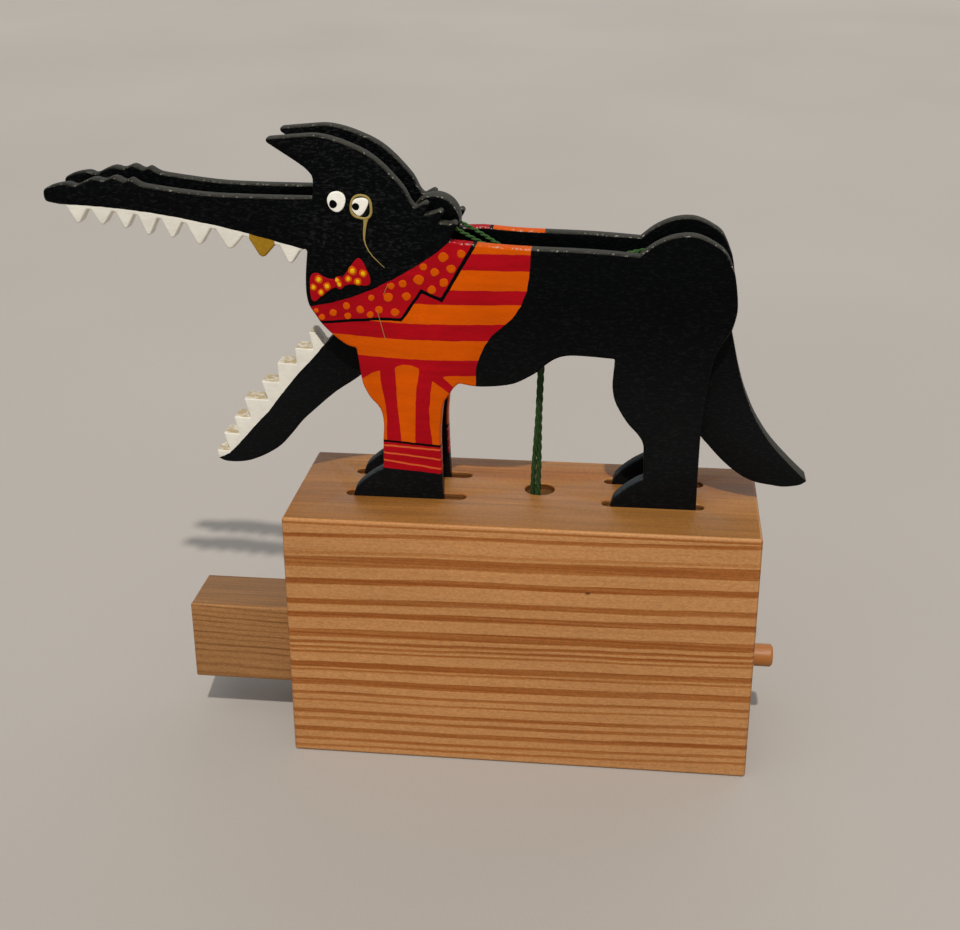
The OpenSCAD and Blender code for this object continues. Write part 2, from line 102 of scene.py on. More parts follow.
class Side(Enum):
    """The painted outer faces: the face's depth, the way it looks and the seed of its brush."""

    NEAR = (-10.5, -1.0, 11)
    FAR = (19.0, 1.0, 12)

    def __init__(self, face: float, out: float, seed: int) -> None:
        """Names the face's values."""
        self.face, self.out, self.seed = face, out, seed
        self.label = self.name.lower()


class Owner(Enum):
    """What a net of nodes belongs to, by the name of Blender's store."""

    MATERIAL = "materials"
    WORLD = "worlds"
    MESH = "node_groups"


def linear(*channels: int) -> Colour:
    """A colour as a screen shows it, from 0 to 255, in linear light."""
    shares = [channel / 255 for channel in channels]
    return tuple(s / 12.92 if s <= 0.04045 else ((s + 0.055) / 1.055) ** 2.4 for s in shares)


RED = linear(163, 9, 22)
ORANGE = linear(203, 82, 0)
PALE_ORANGE = linear(206, 92, 44)
TOOTH_WHITE = linear(238, 234, 222)
TOOTH_GOLD = linear(160, 122, 34)
BARE_TIP = linear(172, 154, 120)
DOWEL_WOOD = (linear(216, 164, 108), linear(170, 112, 62))


def math_step(operation: str, reflected: bool = False) -> Callable[..., "Wire"]:
    """Makes one of Wire's operators.

    Args:
        operation: The Math node's operation.
        reflected: Whether the wire is the second operand.

    Returns:
        A method that adds the Math node.
    """

    def operator(self: "Wire", other: Operand = 0.0) -> "Wire":
        """Adds the Math node and gives its result."""
        pair = (other, self) if reflected else (self, other)
        return self.net.node("ShaderNodeMath", {"operation": operation}, dict(enumerate(pair)))

    return operator


class Wire:
    """A socket that carries a value, with the operators of plain arithmetic.

    A bar gives the greater of two masks and an ampersand the lesser.
    """

    def __init__(self, net: "Net", socket: bpy.types.NodeSocket) -> None:
        """Keeps the socket and the net that it belongs to."""
        self.net = net
        self.socket = socket

    __add__ = __radd__ = math_step("ADD")
    __sub__, __rsub__ = math_step("SUBTRACT"), math_step("SUBTRACT", reflected=True)
    __mul__ = __rmul__ = math_step("MULTIPLY")
    __truediv__, __rtruediv__ = math_step("DIVIDE"), math_step("DIVIDE", reflected=True)
    __pow__ = math_step("POWER")
    __lt__, __gt__ = math_step("LESS_THAN"), math_step("GREATER_THAN")
    __or__ = __ror__ = math_step("MAXIMUM")
    __and__ = __rand__ = math_step("MINIMUM")
    __abs__, root = math_step("ABSOLUTE"), math_step("SQRT")


class Net:
    """A tree of nodes, with the part's own coordinates in millimetres at hand."""

    def __init__(self, name: str, kind: Owner = Owner.MATERIAL) -> None:
        """Makes an empty material, world or mesh group.

        Args:
            name: Its name.
            kind: Which of the three it is.
        """
        store = getattr(bpy.data, kind.value)
        if kind is Owner.MESH:
            self.owner = self.tree = store.new(name, "GeometryNodeTree")
            for way in ("INPUT", "OUTPUT"):
                self.tree.interface.new_socket("Geometry", in_out=way, socket_type="NodeSocketGeometry")
        else:
            self.owner = store.new(name)
            self.owner.use_nodes = True
            self.tree = self.owner.node_tree
            self.tree.nodes.clear()
        self._place: Optional[Wire] = None

    def node(
        self,
        kind: str,
        settings: Optional[Mapping[str, Any]] = None,
        feeds: Optional[Mapping[Key, Feed]] = None,
        out: Key = 0,
    ) -> Wire:
        """Adds any node.

        Args:
            kind: The node's type.
            settings: Its settings, set first; "stops" are a ramp's places and shades.
            feeds: Values or links of its sockets, by name or number.
            out: The output that is wanted, by name or number.

        Returns:
            That output, or the first input of a node that has none.
        """
        made = self.tree.nodes.new(kind)
        for name, value in (settings or {}).items():
            if name == "stops":
                self._set_stops(made.color_ramp, value)
            else:
                setattr(made.color_ramp if name == "interpolation" else made, name, value)
        for key, feed in (feeds or {}).items():
            socket = made.inputs[key]
            if isinstance(feed, Wire):
                self.tree.links.new(feed.socket, socket)
            else:
                socket.default_value = (*feed, 1.0) if socket.type == "RGBA" else feed
        return Wire(self, made.outputs[out] if made.outputs else made.inputs[0])

    @staticmethod
    def _set_stops(ramp: bpy.types.ColorRamp, stops: Sequence[tuple[float, Any]]) -> None:
        """Fills a ramp.

        Args:
            ramp: The ramp.
            stops: Its places, each with a grey or a colour.
        """
        while len(ramp.elements) > 1:
            ramp.elements.remove(ramp.elements[-1])
        for number, (place, shade) in enumerate(stops):
            element = ramp.elements[0] if number == 0 else ramp.elements.new(place)
            element.position = place
            element.color = (*(shade if isinstance(shade, tuple) else [shade] * 3), 1.0)

    @property
    def place(self) -> Wire:
        """The shaded point in the piece's own frame, in millimetres, as a vector."""
        if self._place is None:
            feeds = {0: self.node("ShaderNodeTexCoord", out="Object"), "Scale": 1 / MM}
            self._place = self.node("ShaderNodeVectorMath", {"operation": "SCALE"}, feeds)
        return self._place

    def split(self, vector: Wire) -> tuple[Wire, ...]:
        """A vector's three coordinates."""
        parts = self.node("ShaderNodeSeparateXYZ", feeds={0: vector}).socket.node.outputs
        return tuple(Wire(self, part) for part in parts)

    def axes(self) -> tuple[Wire, ...]:
        """The shaded point's three coordinates in millimetres."""
        return self.split(self.place)

    def noise(
        self, scale: Union[float, Point3], detail: float = 2.0, rough: float = 0.5, shift: float = 0.0
    ) -> Wire:
        """Soft noise about nought.

        Args:
            scale: Waves per millimetre, alike on all axes or one for each.
            detail: Number of finer layers.
            rough: Share of the finer layers.
            shift: Offset that tells one noise from another.

        Returns:
            A value from about -0.5 to 0.5.
        """
        scales = scale if isinstance(scale, tuple) else (scale,) * 3
        at = {0: self.place, "Scale": scales, "Location": (shift, 1.7 * shift, 0.6 * shift)}
        mapped = self.node("ShaderNodeMapping", feeds=at)
        feeds = {"Vector": mapped, "Scale": 1.0, "Detail": detail, "Roughness": rough}
        return self.node("ShaderNodeTexNoise", feeds=feeds) - 0.5

    def facing(self, axis: int = 2) -> Wire:
        """How far the surface looks along an axis of the piece's own frame.

        Args:
            axis: Number of the axis.

        Returns:
            A value from -1 to 1.
        """
        normal = self.node("ShaderNodeNewGeometry", out="Normal")
        ways = {"vector_type": "NORMAL", "convert_from": "WORLD", "convert_to": "OBJECT"}
        return self.split(self.node("ShaderNodeVectorTransform", ways, {0: normal}))[axis]

    def spread(self, value: Wire, low: float, high: float) -> Wire:
        """Runs a value smoothly from nought at low to one at high."""
        settings = {"interpolation_type": "SMOOTHSTEP", "clamp": True}
        return self.node("ShaderNodeMapRange", settings, {0: value, 1: low, 2: high, 3: 0.0, 4: 1.0})

    def band(self, value: Wire, rise: Point2, fall: Point2) -> Wire:
        """A mask that comes up over one range of a value and goes down over another."""
        return self.spread(value, *rise) * (1.0 - self.spread(value, *fall))

    def shade(self, value: Wire, stops: Sequence[tuple[float, Any]], steps: str = "LINEAR") -> Wire:
        """A colour that changes with a value from nought to one."""
        return self.node("ShaderNodeValToRGB", {"stops": stops, "interpolation": steps}, {0: value})

    def grey(self, colour: Wire) -> Wire:
        """The value of a grey."""
        return self.node("ShaderNodeSeparateColor", feeds={0: colour})

    def through(self, value: Wire, points: Sequence[Point2]) -> Wire:
        """A line drawn through points, read at a value.

        Args:
            value: Where it is read.
            points: The line's points in rising order, each a place and a height.

        Returns:
            The line's height there.
        """
        first, last = points[0][0], points[-1][0]
        low = min(height for _, height in points)
        rise = max(height for _, height in points) - low
        stops = [((p - first) / (last - first), (h - low) / rise) for p, h in points]
        return self.grey(self.shade((value - first) / (last - first), stops)) * rise + low

    def mix(self, share: Operand, under: Feed, over: Feed, blend: str = "MIX") -> Wire:
        """Lays one colour over another, as far as the share says."""
        settings = {"data_type": "RGBA", "blend_type": blend, "clamp_factor": True}
        return self.node("ShaderNodeMix", settings, {0: share, 6: under, 7: over}, out=2)

    def tone(self, colour: Feed, factor: Operand) -> Wire:
        """Multiplies a colour's light by a factor."""
        grey = self.node("ShaderNodeCombineColor", feeds={0: factor, 1: factor, 2: factor})
        return self.mix(1.0, colour, grey, blend="MULTIPLY")

    def relief(self, height: Wire, depth: float) -> Wire:
        """A normal bumped by a height, of which one stands for the depth."""
        return self.node("ShaderNodeBump", feeds={"Height": height, "Distance": depth * MM, "Strength": 1.0})

    def surface(
        self, colour: Wire, roughness: Operand, normal: Wire, others: Optional[Mapping[Key, Feed]] = None
    ) -> bpy.types.Material:
        """Closes the net with its shader.

        Args:
            colour: Base colour.
            roughness: Roughness.
            normal: Normal.
            others: Values of the shader's other sockets.

        Returns:
            The finished material.
        """
        feeds = {"Base Color": colour, "Roughness": roughness, "Normal": normal, **(others or {})}
        shader = self.node("ShaderNodeBsdfPrincipled", feeds=feeds)
        self.node("ShaderNodeOutputMaterial", feeds={"Surface": shader})
        return self.owner


@dataclass(frozen=True)
class BandedWoodFinish:
    """Oiled softwood with dark latewood bands that run along the piece."""

    # Height, half width and strength of each band
    bands: tuple[Point3, ...] = (
        (-6.0, 1.2, 0.7), (1.8, 0.4, 0.7), (5.2, 0.5, 0.75), (10.2, 0.9, 0.9), (15.2, 0.6, 0.8),
        (19.2, 0.7, 0.85), (24.8, 0.3, 0.7), (28.4, 0.5, 0.9), (34.3, 1.4, 0.95), (40.4, 0.3, 0.7),
        (43.2, 1.2, 1.0), (49.4, 0.3, 0.8), (51.6, 0.4, 0.85), (54.2, 0.5, 0.9), (58.6, 1.7, 1.0),
        (67.4, 1.15, 1.0), (73.8, 1.15, 1.0), (83.2, 1.2, 1.0), (92.2, 2.2, 0.85), (96.2, 0.5, 0.4),
        (104.2, 0.7, 0.95), (113.4, 1.0, 0.9), (117.5, 1.4, 0.55), (121.6, 1.8, 0.6), (126.0, 1.0, 0.5),
    )
    # A ramp holds 32 stops, and a band takes four
    bands_on_ramp: int = 7
    soft: float = 0.55
    early: Colour = linear(184, 131, 81)
    middle: Colour = linear(167, 109, 57)
    late: Colour = linear(140, 77, 28)
    # The handled top: its tones and flushed strips across the depth, and where they start
    top: Colour = linear(150, 100, 42)
    top_bands: Line = (
        (-37.0, 0.84), (-26.0, 0.8), (-18.0, 0.88), (-10.0, 1.12), (2.0, 1.25), (12.0, 0.98),
        (22.0, 0.92), (33.0, 1.15),
    )
    top_bands_from: Point2 = (-95.0, -40.0)
    ruddy: Colour = linear(150, 84, 30)
    ruddy_bands: Line = ((8.0, 0.0), (15.0, 1.0), (24.0, 1.0), (30.0, 0.0))
    ruddy_from: Point2 = (-60.0, -20.0)
    dull_end: float = 0.86
    scuffed: Colour = linear(196, 176, 150)
    # Height of the dark line under the top edge
    brow: float = 110.6
    # The growth rings' middle, slant and waviness
    heart: Point2 = (-60.0, -330.0)
    tilt: float = -0.021
    level_at: float = -155.0
    sway: float = 4.0
    waver: float = 0.9
    end_face: float = 97.6
    end_shade: float = 0.24
    # Box inside the block that holds its slots and hole, and the tone of the painted shade on every surface
    # within it
    hollow: Point3 = (96.0, 34.0, 111.9)
    painted_hollow_shade: float = 0.42
    knots: tuple[Point3, ...] = ((28.9, 84.6, 0.95),)
    roughness: float = 0.5
    sheen: float = 0.18

    def build(self, name: str) -> bpy.types.Material:
        """Makes the material.

        Args:
            name: The material's name.

        Returns:
            The material.
        """
        net = Net(name)
        x, y, z = net.axes()
        sway = net.noise((0.007, 0.012, 0.012), 1.0, shift=3.1) * self.sway
        waver = net.noise((0.03, 0.1, 0.1), shift=8.4) * self.waver
        rise = z - self.heart[1] + (x - self.level_at) * self.tilt
        height = ((y - self.heart[0]) ** 2 + rise**2).root() + self.heart[1] + sway + waver
        fibre = net.noise((0.05, 2.2, 2.2), 3.0, 0.65, 1.3)
        hair = net.noise((0.006, 1.3, 1.3), 3.0, 0.65, 2.9)
        fleck = net.noise((0.25, 5.0, 5.0), 1.0, 0.5, 5.5)
        pore = net.noise((0.75, 1.6, 1.6), 2.0, 0.7, 27.0)
        cloud = net.noise((0.01, 0.03, 0.03), shift=12.0)
        under_edge = 1.0 - net.spread(abs(z + waver * 0.5 - self.brow), 0.3, 0.8)
        late = self._late(net, height + fibre * 0.7) | under_edge * 0.8
        shades = [(0.0, self.early), (0.45, self.middle), (1.0, self.late)]
        wood = net.shade(late * (0.88 + hair * 0.9) + fibre * 0.3 + (hair + 0.03) * 0.9, shades)
        wood = self._top(net, wood, late, hair, cloud)
        tone = (1.0 + cloud * 0.3 + fibre * 0.26) * (1.0 + pore * 0.85)
        tone = tone * (1.0 - 0.25 * net.spread(fleck, 0.15, 0.3))
        for at_x, at_z, radius in self.knots:
            away = (((x - at_x) * 0.6) ** 2 + (z - at_z) ** 2).root()
            tone = tone * (0.3 + 0.7 * net.spread(away, radius * 0.3, radius))
        # Painted shade: surfaces inside the block's slots and hole are darkened
        inside = (abs(x) < self.hollow[0]) * (abs(y) < self.hollow[1]) * (z < self.hollow[2])
        ends = net.spread(abs(x), self.end_face - 0.2, self.end_face + 0.2)
        tone = tone * (1.0 - inside * (1.0 - self.painted_hollow_shade)) * (1.0 - self.end_shade * ends)
        gloss = self.roughness + fibre * 0.2 - late * 0.08
        normal = net.relief(fibre * 0.6 - late * 0.25, 0.12)
        return net.surface(net.tone(wood, tone), gloss, normal, {SPECULAR: self.sheen})

    def _late(self, net: Net, height: Wire) -> Wire:
        """Draws the dark bands.

        Args:
            net: The net that they go into.
            height: Height of the growth layer.

        Returns:
            How dark the wood is, from nought to about one.
        """
        late: Operand = 0.0
        for start in range(0, len(self.bands), self.bands_on_ramp):
            points = []
            for at, half, strength in self.bands[start:start + self.bands_on_ramp]:
                points += [(at - half - self.soft, 0.0), (at - half, strength * 0.9)]
                points += [(at + half, strength), (at + half + self.soft * 0.6, 0.0)]
            late = late | net.through(height, points)
        return late

    def _top(self, net: Net, wood: Wire, late: Wire, hair: Wire, cloud: Wire) -> Wire:
        """Lays the handled top over the wood.

        Args:
            net: The wood's net.
            wood: The wood's colour.
            late: How dark the bands are.
            hair: Fine lines of the grain.
            cloud: Broad unevenness.

        Returns:
            The colour with its top.
        """
        x, y, _ = net.axes()
        handled = net.spread(net.facing(), 0.9, 0.99) * 0.8
        streak = net.noise((0.012, 0.3, 0.3), 3.0, 0.65, 17.0)
        line = net.noise((0.02, 0.9, 0.9), 3.0, 0.7, 43.0)
        scratch = net.noise(0.9, 2.0, 0.7, 37.0)
        across = y + streak * 10.0
        bands = net.through(across, self.top_bands) - self.dull_end
        pale = self.dull_end + bands * net.spread(x, *self.top_bands_from)
        flushed = net.through(across, self.ruddy_bands) * net.spread(x, *self.ruddy_from)
        worn = net.mix(flushed * 0.6, self.top, self.ruddy)
        worn = net.tone(worn, pale * (0.98 - late * 0.15 + hair * 0.4 + streak * 1.1 + line * 0.5))
        scuff = handled * net.spread(scratch, 0.12, 0.24) * net.spread(cloud, 0.0, 0.12)
        return net.mix(scuff * 0.35, net.mix(handled, wood, worn), self.scuffed)


@dataclass(frozen=True)
class FineWoodFinish:
    """A plain close-grained wood with fine lines along one axis."""

    light: Colour
    dark: Colour
    along: int
    line: float = 0.55
    contrast: float = 0.5
    roughness: float = 0.55

    def build(self, name: str) -> bpy.types.Material:
        """Makes the material.

        Args:
            name: The material's name.

        Returns:
            The material.
        """
        net = Net(name)
        lines = net.noise(self._waves(0.012, self.line), 2.0, 0.6, 2.2)
        hairs = net.noise(self._waves(0.06, 3.2), 2.0, 0.6, 6.1)
        bands = net.noise(self._waves(0.008, 0.09), 2.0, 0.5, 9.7)
        share = 0.5 + (lines * 1.8 + bands * 1.3 + hairs * 0.5) * self.contrast
        wood = net.tone(net.shade(share, [(0.0, self.dark), (1.0, self.light)]), 1.0 + hairs * 0.2)
        return net.surface(wood, self.roughness + hairs * 0.25, net.relief(hairs + lines * 0.5, 0.1))

    def _waves(self, along: float, across: float) -> Point3:
        """Waves per millimetre on each axis, from those along and across the grain."""
        return tuple(along if axis == self.along else across for axis in range(3))


@dataclass(frozen=True)
class PaintFinish:
    """Brushed satin paint: its texture, and the black that all of the figure carries."""

    black: Colour = linear(3, 4, 5)
    dulled: Colour = linear(14, 15, 16)
    # Grey of the rims that face up: dust with a painted sheen of the light from above, bluish low on the
    # legs and feet
    worn: Colour = linear(68, 67, 59)
    cool_dust_and_sheen: Colour = linear(60, 66, 70)
    # Lighter grey of the painted glints on the paint's wrinkles
    painted_glint: Colour = linear(30, 31, 33)
    # Pale colour on the upward edges: chipped paint with painted glints of the rounded edge's highlight
    chip_and_glint: Colour = linear(186, 180, 166)
    sheen: float = 0.05
    roughness: float = 0.36
    peel: float = 0.11
    # Where the figure's regions begin and are full: heights first, then places along it
    flank: Point2 = (140.0, 205.0)
    knee: Point2 = (135.0, 165.0)
    jowl: Point2 = (200.0, 215.0)
    nose: Point2 = (-185.0, -140.0)
    cheek: Point2 = (-100.0, -80.0)
    collar: Point2 = (-60.0, -20.0)
    nape: Point2 = (-50.0, -30.0)
    shoulder: tuple[Point2, Point2] = ((-40.0, -30.0), (0.0, 10.0))
    tail_root: Point2 = (74.0, 86.0)

    def texture(self, net: Net) -> tuple[Wire, Wire]:
        """The paint's relief and its uneven gloss.

        Args:
            net: The net that it goes into.

        Returns:
            The normal and the roughness.
        """
        brush = net.noise((0.35, 0.9, 1.1), 2.0, 0.6, 4.2)
        skin = net.noise(1.3, 1.0, 0.5, 7.9)
        grit = net.noise(4.0, 1.0, 0.5, 2.7)
        normal = net.relief(brush * 0.9 + skin * 0.6 + grit * 0.12, self.peel)
        return normal, self.roughness + skin * 0.16 + brush * 0.12

    def coat(self, net: Net, shades: Sequence[tuple[Wire, Feed]]) -> bpy.types.Material:
        """Lays painted areas over the black, whose upward rims carry dust and a painted sheen.

        Args:
            net: The net that holds the masks.
            shades: Masks with their colours, the lowest first.

        Returns:
            The material.
        """
        patch = net.noise(0.09, 3.0, 0.6, 15.0)
        dust = net.noise((0.25, 0.8, 0.8), 3.0, 0.7, 19.0)
        grain = net.noise((0.5, 1.4, 1.4), 2.0, 0.65, 23.0)
        grit = net.noise(0.75, 2.0, 0.7, 29.0)
        upward, away = net.facing(), net.facing(1)
        x, _, z = net.axes()
        low = 1.0 - net.spread(z, *self.flank)
        head = net.spread(z, *self.jowl) * (1.0 - net.spread(x, *self.nape))
        head = head * (0.4 + 0.6 * net.spread(x, *self.cheek))
        # Painted glints: lighter flecks along the brush wrinkles, strongest on the head and low on the legs
        glint_mask = net.spread(grain, -0.02, 0.24) * (0.3 + 0.35 * low + 0.75 * head)
        colour = net.mix(glint_mask, net.mix(low, self.black, self.dulled), self.painted_glint)
        # Rims that face up get dust with a painted sheen, less where they face away and at the nose
        rim = net.spread(upward, 0.15, 0.7) * (0.4 + 0.6 * net.spread(dust, -0.2, 0.16))
        rim = rim * (1.0 - 0.45 * net.spread(away, 0.15, 0.6)) * (0.5 + 0.5 * net.spread(x, *self.nose))
        cool = low * (1.0 - net.spread(x, *self.tail_root))
        colour = net.mix(rim * 0.9, colour, net.mix(cool, self.worn, self.cool_dust_and_sheen))
        for mask, shade in shades:
            colour = net.mix(mask, colour, shade)
        colour = net.tone(colour, 1.0 + patch * 0.22)
        # Pale dashes on the edges that face up: paint chips and painted glints, fewer towards the head and
        # none low on the legs
        edge = net.band(abs(away), (0.12, 0.3), (0.88, 0.97)) * net.spread(upward, 0.1, 0.3)
        chip_glint_dashes = net.spread(grit + net.band(x, *self.shoulder) * 0.06, 0.08, 0.2)
        chip_glint_share = (0.4 + 0.3 * net.spread(x, *self.collar)) * net.spread(z, *self.knee)
        colour = net.mix(edge * chip_glint_dashes * chip_glint_share, colour, self.chip_and_glint)
        normal, gloss = self.texture(net)
        return net.surface(colour, gloss + rim * 0.35, normal, {SPECULAR: self.sheen})

    def plain(self, name: str, colour: Colour) -> bpy.types.Material:
        """One colour of the same paint, for a dab on the figure.

        Args:
            name: The material's name.
            colour: The colour.

        Returns:
            The material.
        """
        net = Net(name)
        toned = net.tone(colour, 1.0 + net.noise(0.5, 2.0, 0.6, 3.0) * 0.25)
        normal, gloss = self.texture(net)
        return net.surface(toned, gloss, normal, {SPECULAR: self.sheen})


@dataclass(frozen=True)
class LegStripe:
    """An upright stripe of the trouser leg: the lines at its top, left and right."""

    top: Line
    left: Line = ()
    right: Line = ()

    def mask(self, net: Net, x: Wire, z: Wire) -> Wire:
        """Draws the stripe.

        Args:
            net: The plate's net.
            x: Place along the plate.
            z: Height.

        Returns:
            The stripe's mask.
        """
        mask = z < net.through(x, self.top)
        if self.left:
            mask = mask * (x > net.through(z, self.left))
        if self.right:
            mask = mask * (x < net.through(z, self.right))
        return mask


@dataclass(frozen=True)
class Outfit:
    """The painted waistcoat, collar, trouser leg, cuff and teeth of a side plate."""

    rear: Line = (
        (120.0, -20.0), (163.0, -20.0), (171.7, -19.8), (176.7, -18.3), (181.0, -16.3), (185.4, -13.3),
        (189.0, -9.2), (193.0, -5.0), (198.0, -1.7), (204.0, 0.4), (210.0, 1.5), (226.0, 2.3),
    )
    collar_top: Line = (
        (-92.0, 194.8), (-87.0, 195.4), (-80.0, 196.8), (-70.0, 199.6), (-60.0, 204.0),
        (-50.0, 209.3), (-38.6, 216.4), (-30.4, 223.0), (-10.0, 239.5),
    )
    collar_line: Line = (
        (-92.0, 188.3), (-83.0, 188.8), (-70.0, 190.0), (-60.0, 190.9), (-50.0, 191.0),
        (-41.8, 203.0), (-33.6, 199.6), (-16.0, 229.9),
    )
    collar_end: float = -19.0
    line_half: Line = (
        (-92.0, 0.62), (-51.0, 0.62), (-49.0, 1.15), (-42.5, 1.15), (-41.0, 0.8),
        (-34.5, 0.8), (-32.8, 1.5), (-16.0, 1.5),
    )
    bands: tuple[float, ...] = (174.0, 182.4, 189.1, 197.6, 203.6, 212.0, 218.8)
    bands_margin: float = 10.0
    bow: float = 0.0014
    bow_middle: float = -38.0
    trouser_top: float = 173.0
    leg_stripes: tuple[LegStripe, ...] = (
        LegStripe(
            top=((-72.0, 163.0), (-67.0, 165.3), (-62.5, 168.0), (-59.0, 169.2)),
            right=(
                (136.0, -57.6), (145.0, -57.2), (150.0, -57.3), (155.0, -57.8), (160.0, -58.6),
                (165.0, -59.3), (170.0, -59.7),
            ),
        ),
        LegStripe(
            top=(
                (-54.0, 168.5), (-52.6, 170.7), (-50.0, 171.7), (-46.5, 171.6), (-44.0, 170.5),
                (-42.6, 169.0),
            ),
            left=((136.0, -51.2), (145.0, -51.9), (155.0, -52.6), (165.0, -53.1), (172.0, -53.2)),
            right=(
                (136.0, -45.5), (145.0, -45.3), (155.0, -45.0), (162.0, -44.4), (168.0, -43.5),
                (172.0, -43.1),
            ),
        ),
        LegStripe(
            top=((-40.0, 165.2), (-37.5, 164.8), (-34.0, 162.3), (-29.0, 158.4)),
            left=((136.0, -38.2), (145.0, -39.1), (152.0, -39.3), (160.0, -38.7), (166.0, -37.8)),
        ),
        LegStripe(
            top=((-34.2, 166.2), (-32.5, 167.3), (-28.0, 167.7), (-18.0, 167.9)),
            left=((160.0, -27.0), (163.0, -29.6), (167.0, -33.6), (169.0, -35.6)),
        ),
    )
    # Height and slant of the cuff's lines, and their half widths
    cuff_top: Point2 = (138.0, -0.07)
    cuff_base: Point2 = (125.7, -0.07)
    cuff_lines: Line = ((136.0, -0.055), (132.8, -0.1), (129.3, -0.13))
    cuff_line_half: float = 0.36
    cuff_rim_half: float = 0.5
    cuff_from: float = -59.0
    cuff_reach: float = -31.0
    gum_front: Point2 = (-186.0, 234.35)
    gum_fall: float = 15.65
    gum_bend: float = 1.8
    gum_length: float = 96.0
    gold: Point2 = (-110.9, -100.6)
    inner: float = 5.9
    # How far the far plate's waistcoat lies forward, and where
    far_shift: float = 3.6
    far_from: Point2 = (192.0, 214.0)
    far_behind: Point2 = (-60.0, -30.0)

    def shades(self, net: Net, side: Side) -> list[tuple[Wire, Feed]]:
        """Draws the outfit's masks.

        Args:
            net: The plate's net.
            side: The plate.

        Returns:
            Masks with their colours, the lowest first.
        """
        x, y, z = net.axes()
        x = x + net.noise(0.22, shift=21.0) * 0.7
        z = z + net.noise(0.18, shift=33.0) * 0.7
        outside = (side.face - y) * side.out < self.inner
        teeth = self._teeth(net, x, z)
        if side is Side.FAR:
            x = x - net.spread(z, *self.far_from) * net.spread(x, *self.far_behind) * self.far_shift
        red = net.tone(RED, 1.0 + net.noise((0.05, 0.3, 0.3), shift=41.0) * 0.5)
        orange = net.tone(ORANGE, 1.0 + net.noise((0.05, 0.3, 0.3), shift=47.0) * 0.35)

        cuff_top = self._slope(x, self.cuff_top)
        leg = outside * (x < self.cuff_reach)
        cuff = leg * (z < cuff_top) * (z > self._slope(x, self.cuff_base))
        under_head = (x < net.through(z, self.rear)) * (z < net.through(x, self.collar_top))
        waistcoat = under_head * outside * (z > cuff_top)
        line = net.through(x, self.collar_line)
        front = waistcoat * (x < self.collar_end)
        stripes = self._bands(net, x, z)
        for stripe in self.leg_stripes:
            stripes = stripes | stripe.mask(net, x, z) * (z < self.trouser_top)
        return [
            (waistcoat, red),
            (waistcoat * stripes, orange),
            (front * (z > line), red),
            (front * (abs(z - line) < net.through(x, self.line_half)), PaintFinish.black),
            (cuff, red),
            *(
                (cuff * (abs(z - self._slope(x, drawn)) < self.cuff_line_half), PALE_ORANGE)
                for drawn in self.cuff_lines
            ),
            (leg * (abs(z - cuff_top) < self.cuff_rim_half), PaintFinish.black),
            *teeth,
        ]

    def _slope(self, x: Wire, drawn: Point2) -> Wire:
        """A line that slants across the leg, as its height there."""
        return (x - self.cuff_from) * drawn[1] + drawn[0]

    def _bands(self, net: Net, x: Wire, z: Wire) -> Wire:
        """The waistcoat's orange stripes.

        Args:
            net: The plate's net.
            x: Place along the plate.
            z: Height.

        Returns:
            The stripes' mask.
        """
        fade = 1.0 - net.spread(z, self.bands[0], self.bands[-1])
        level = z - (x - self.bow_middle) ** 2 * fade * self.bow
        low = self.bands[0] - self.bands_margin
        tall = self.bands[-1] + self.bands_margin - low
        edges = [((edge - low) / tall, float(number % 2 == 0)) for number, edge in enumerate(self.bands)]
        return net.grey(net.shade((level - low) / tall, [(0.0, 0.0), *edges], "CONSTANT"))

    def _teeth(self, net: Net, x: Wire, z: Wire) -> list[tuple[Wire, Feed]]:
        """The upper teeth, of which one is gold.

        Args:
            net: The plate's net.
            x: Place along the plate.
            z: Height.

        Returns:
            Masks with their colours.
        """
        share = (x - self.gum_front[0]) / self.gum_length
        gum = self.gum_front[1] - (share | 0.0) ** self.gum_bend * self.gum_fall
        row = (z < gum + 0.4) * (x < self.gum_front[0] + self.gum_length + 0.6)
        gold = row * (x > self.gold[0]) * (x < self.gold[1])
        stain = net.noise((0.15, 0.4, 0.3), 3.0, 0.6, 51.0)
        rubbed = net.noise((0.5, 0.5, 1.2), 3.0, 0.65, 53.0)
        white = net.tone(TOOTH_WHITE, 0.97 + stain * 0.2)
        return [(row, white), (gold, net.tone(TOOTH_GOLD, 1.0 + rubbed * 0.8))]


@dataclass(frozen=True)
class JawPaint:
    """The white teeth of the lower jaw, rubbed bare at their flat tips."""

    white_line: Line = (
        (-137.0, 120.5), (-133.5, 122.9), (-128.5, 125.4), (-125.5, 128.3), (-120.5, 133.8),
        (-115.5, 139.6), (-110.5, 144.8), (-105.5, 151.4), (-100.5, 157.8), (-95.5, 163.7),
        (-90.5, 168.9), (-85.5, 174.9), (-81.5, 179.3), (-78.0, 184.0),
    )
    row_end: float = -80.5

    def shades(self, net: Net) -> list[tuple[Wire, Feed]]:
        """Draws the jaw's masks.

        Args:
            net: The jaw's net.

        Returns:
            Masks with their colours, the lowest first.
        """
        x, _, z = net.axes()
        waver = net.noise(0.2, shift=61.0) * 0.8
        stain = net.noise(0.25, 3.0, 0.6, 57.0)
        rub = net.noise(0.35, 3.0, 0.6, 71.0)
        teeth = (z + waver > net.through(x, self.white_line)) * (x < self.row_end)
        tips = teeth * net.spread(net.facing(), 0.8, 0.95) * (0.25 + 0.75 * net.spread(rub, -0.16, 0.1))
        return [(teeth, net.tone(TOOTH_WHITE, 0.86 + stain * 0.22)), (tips, BARE_TIP)]


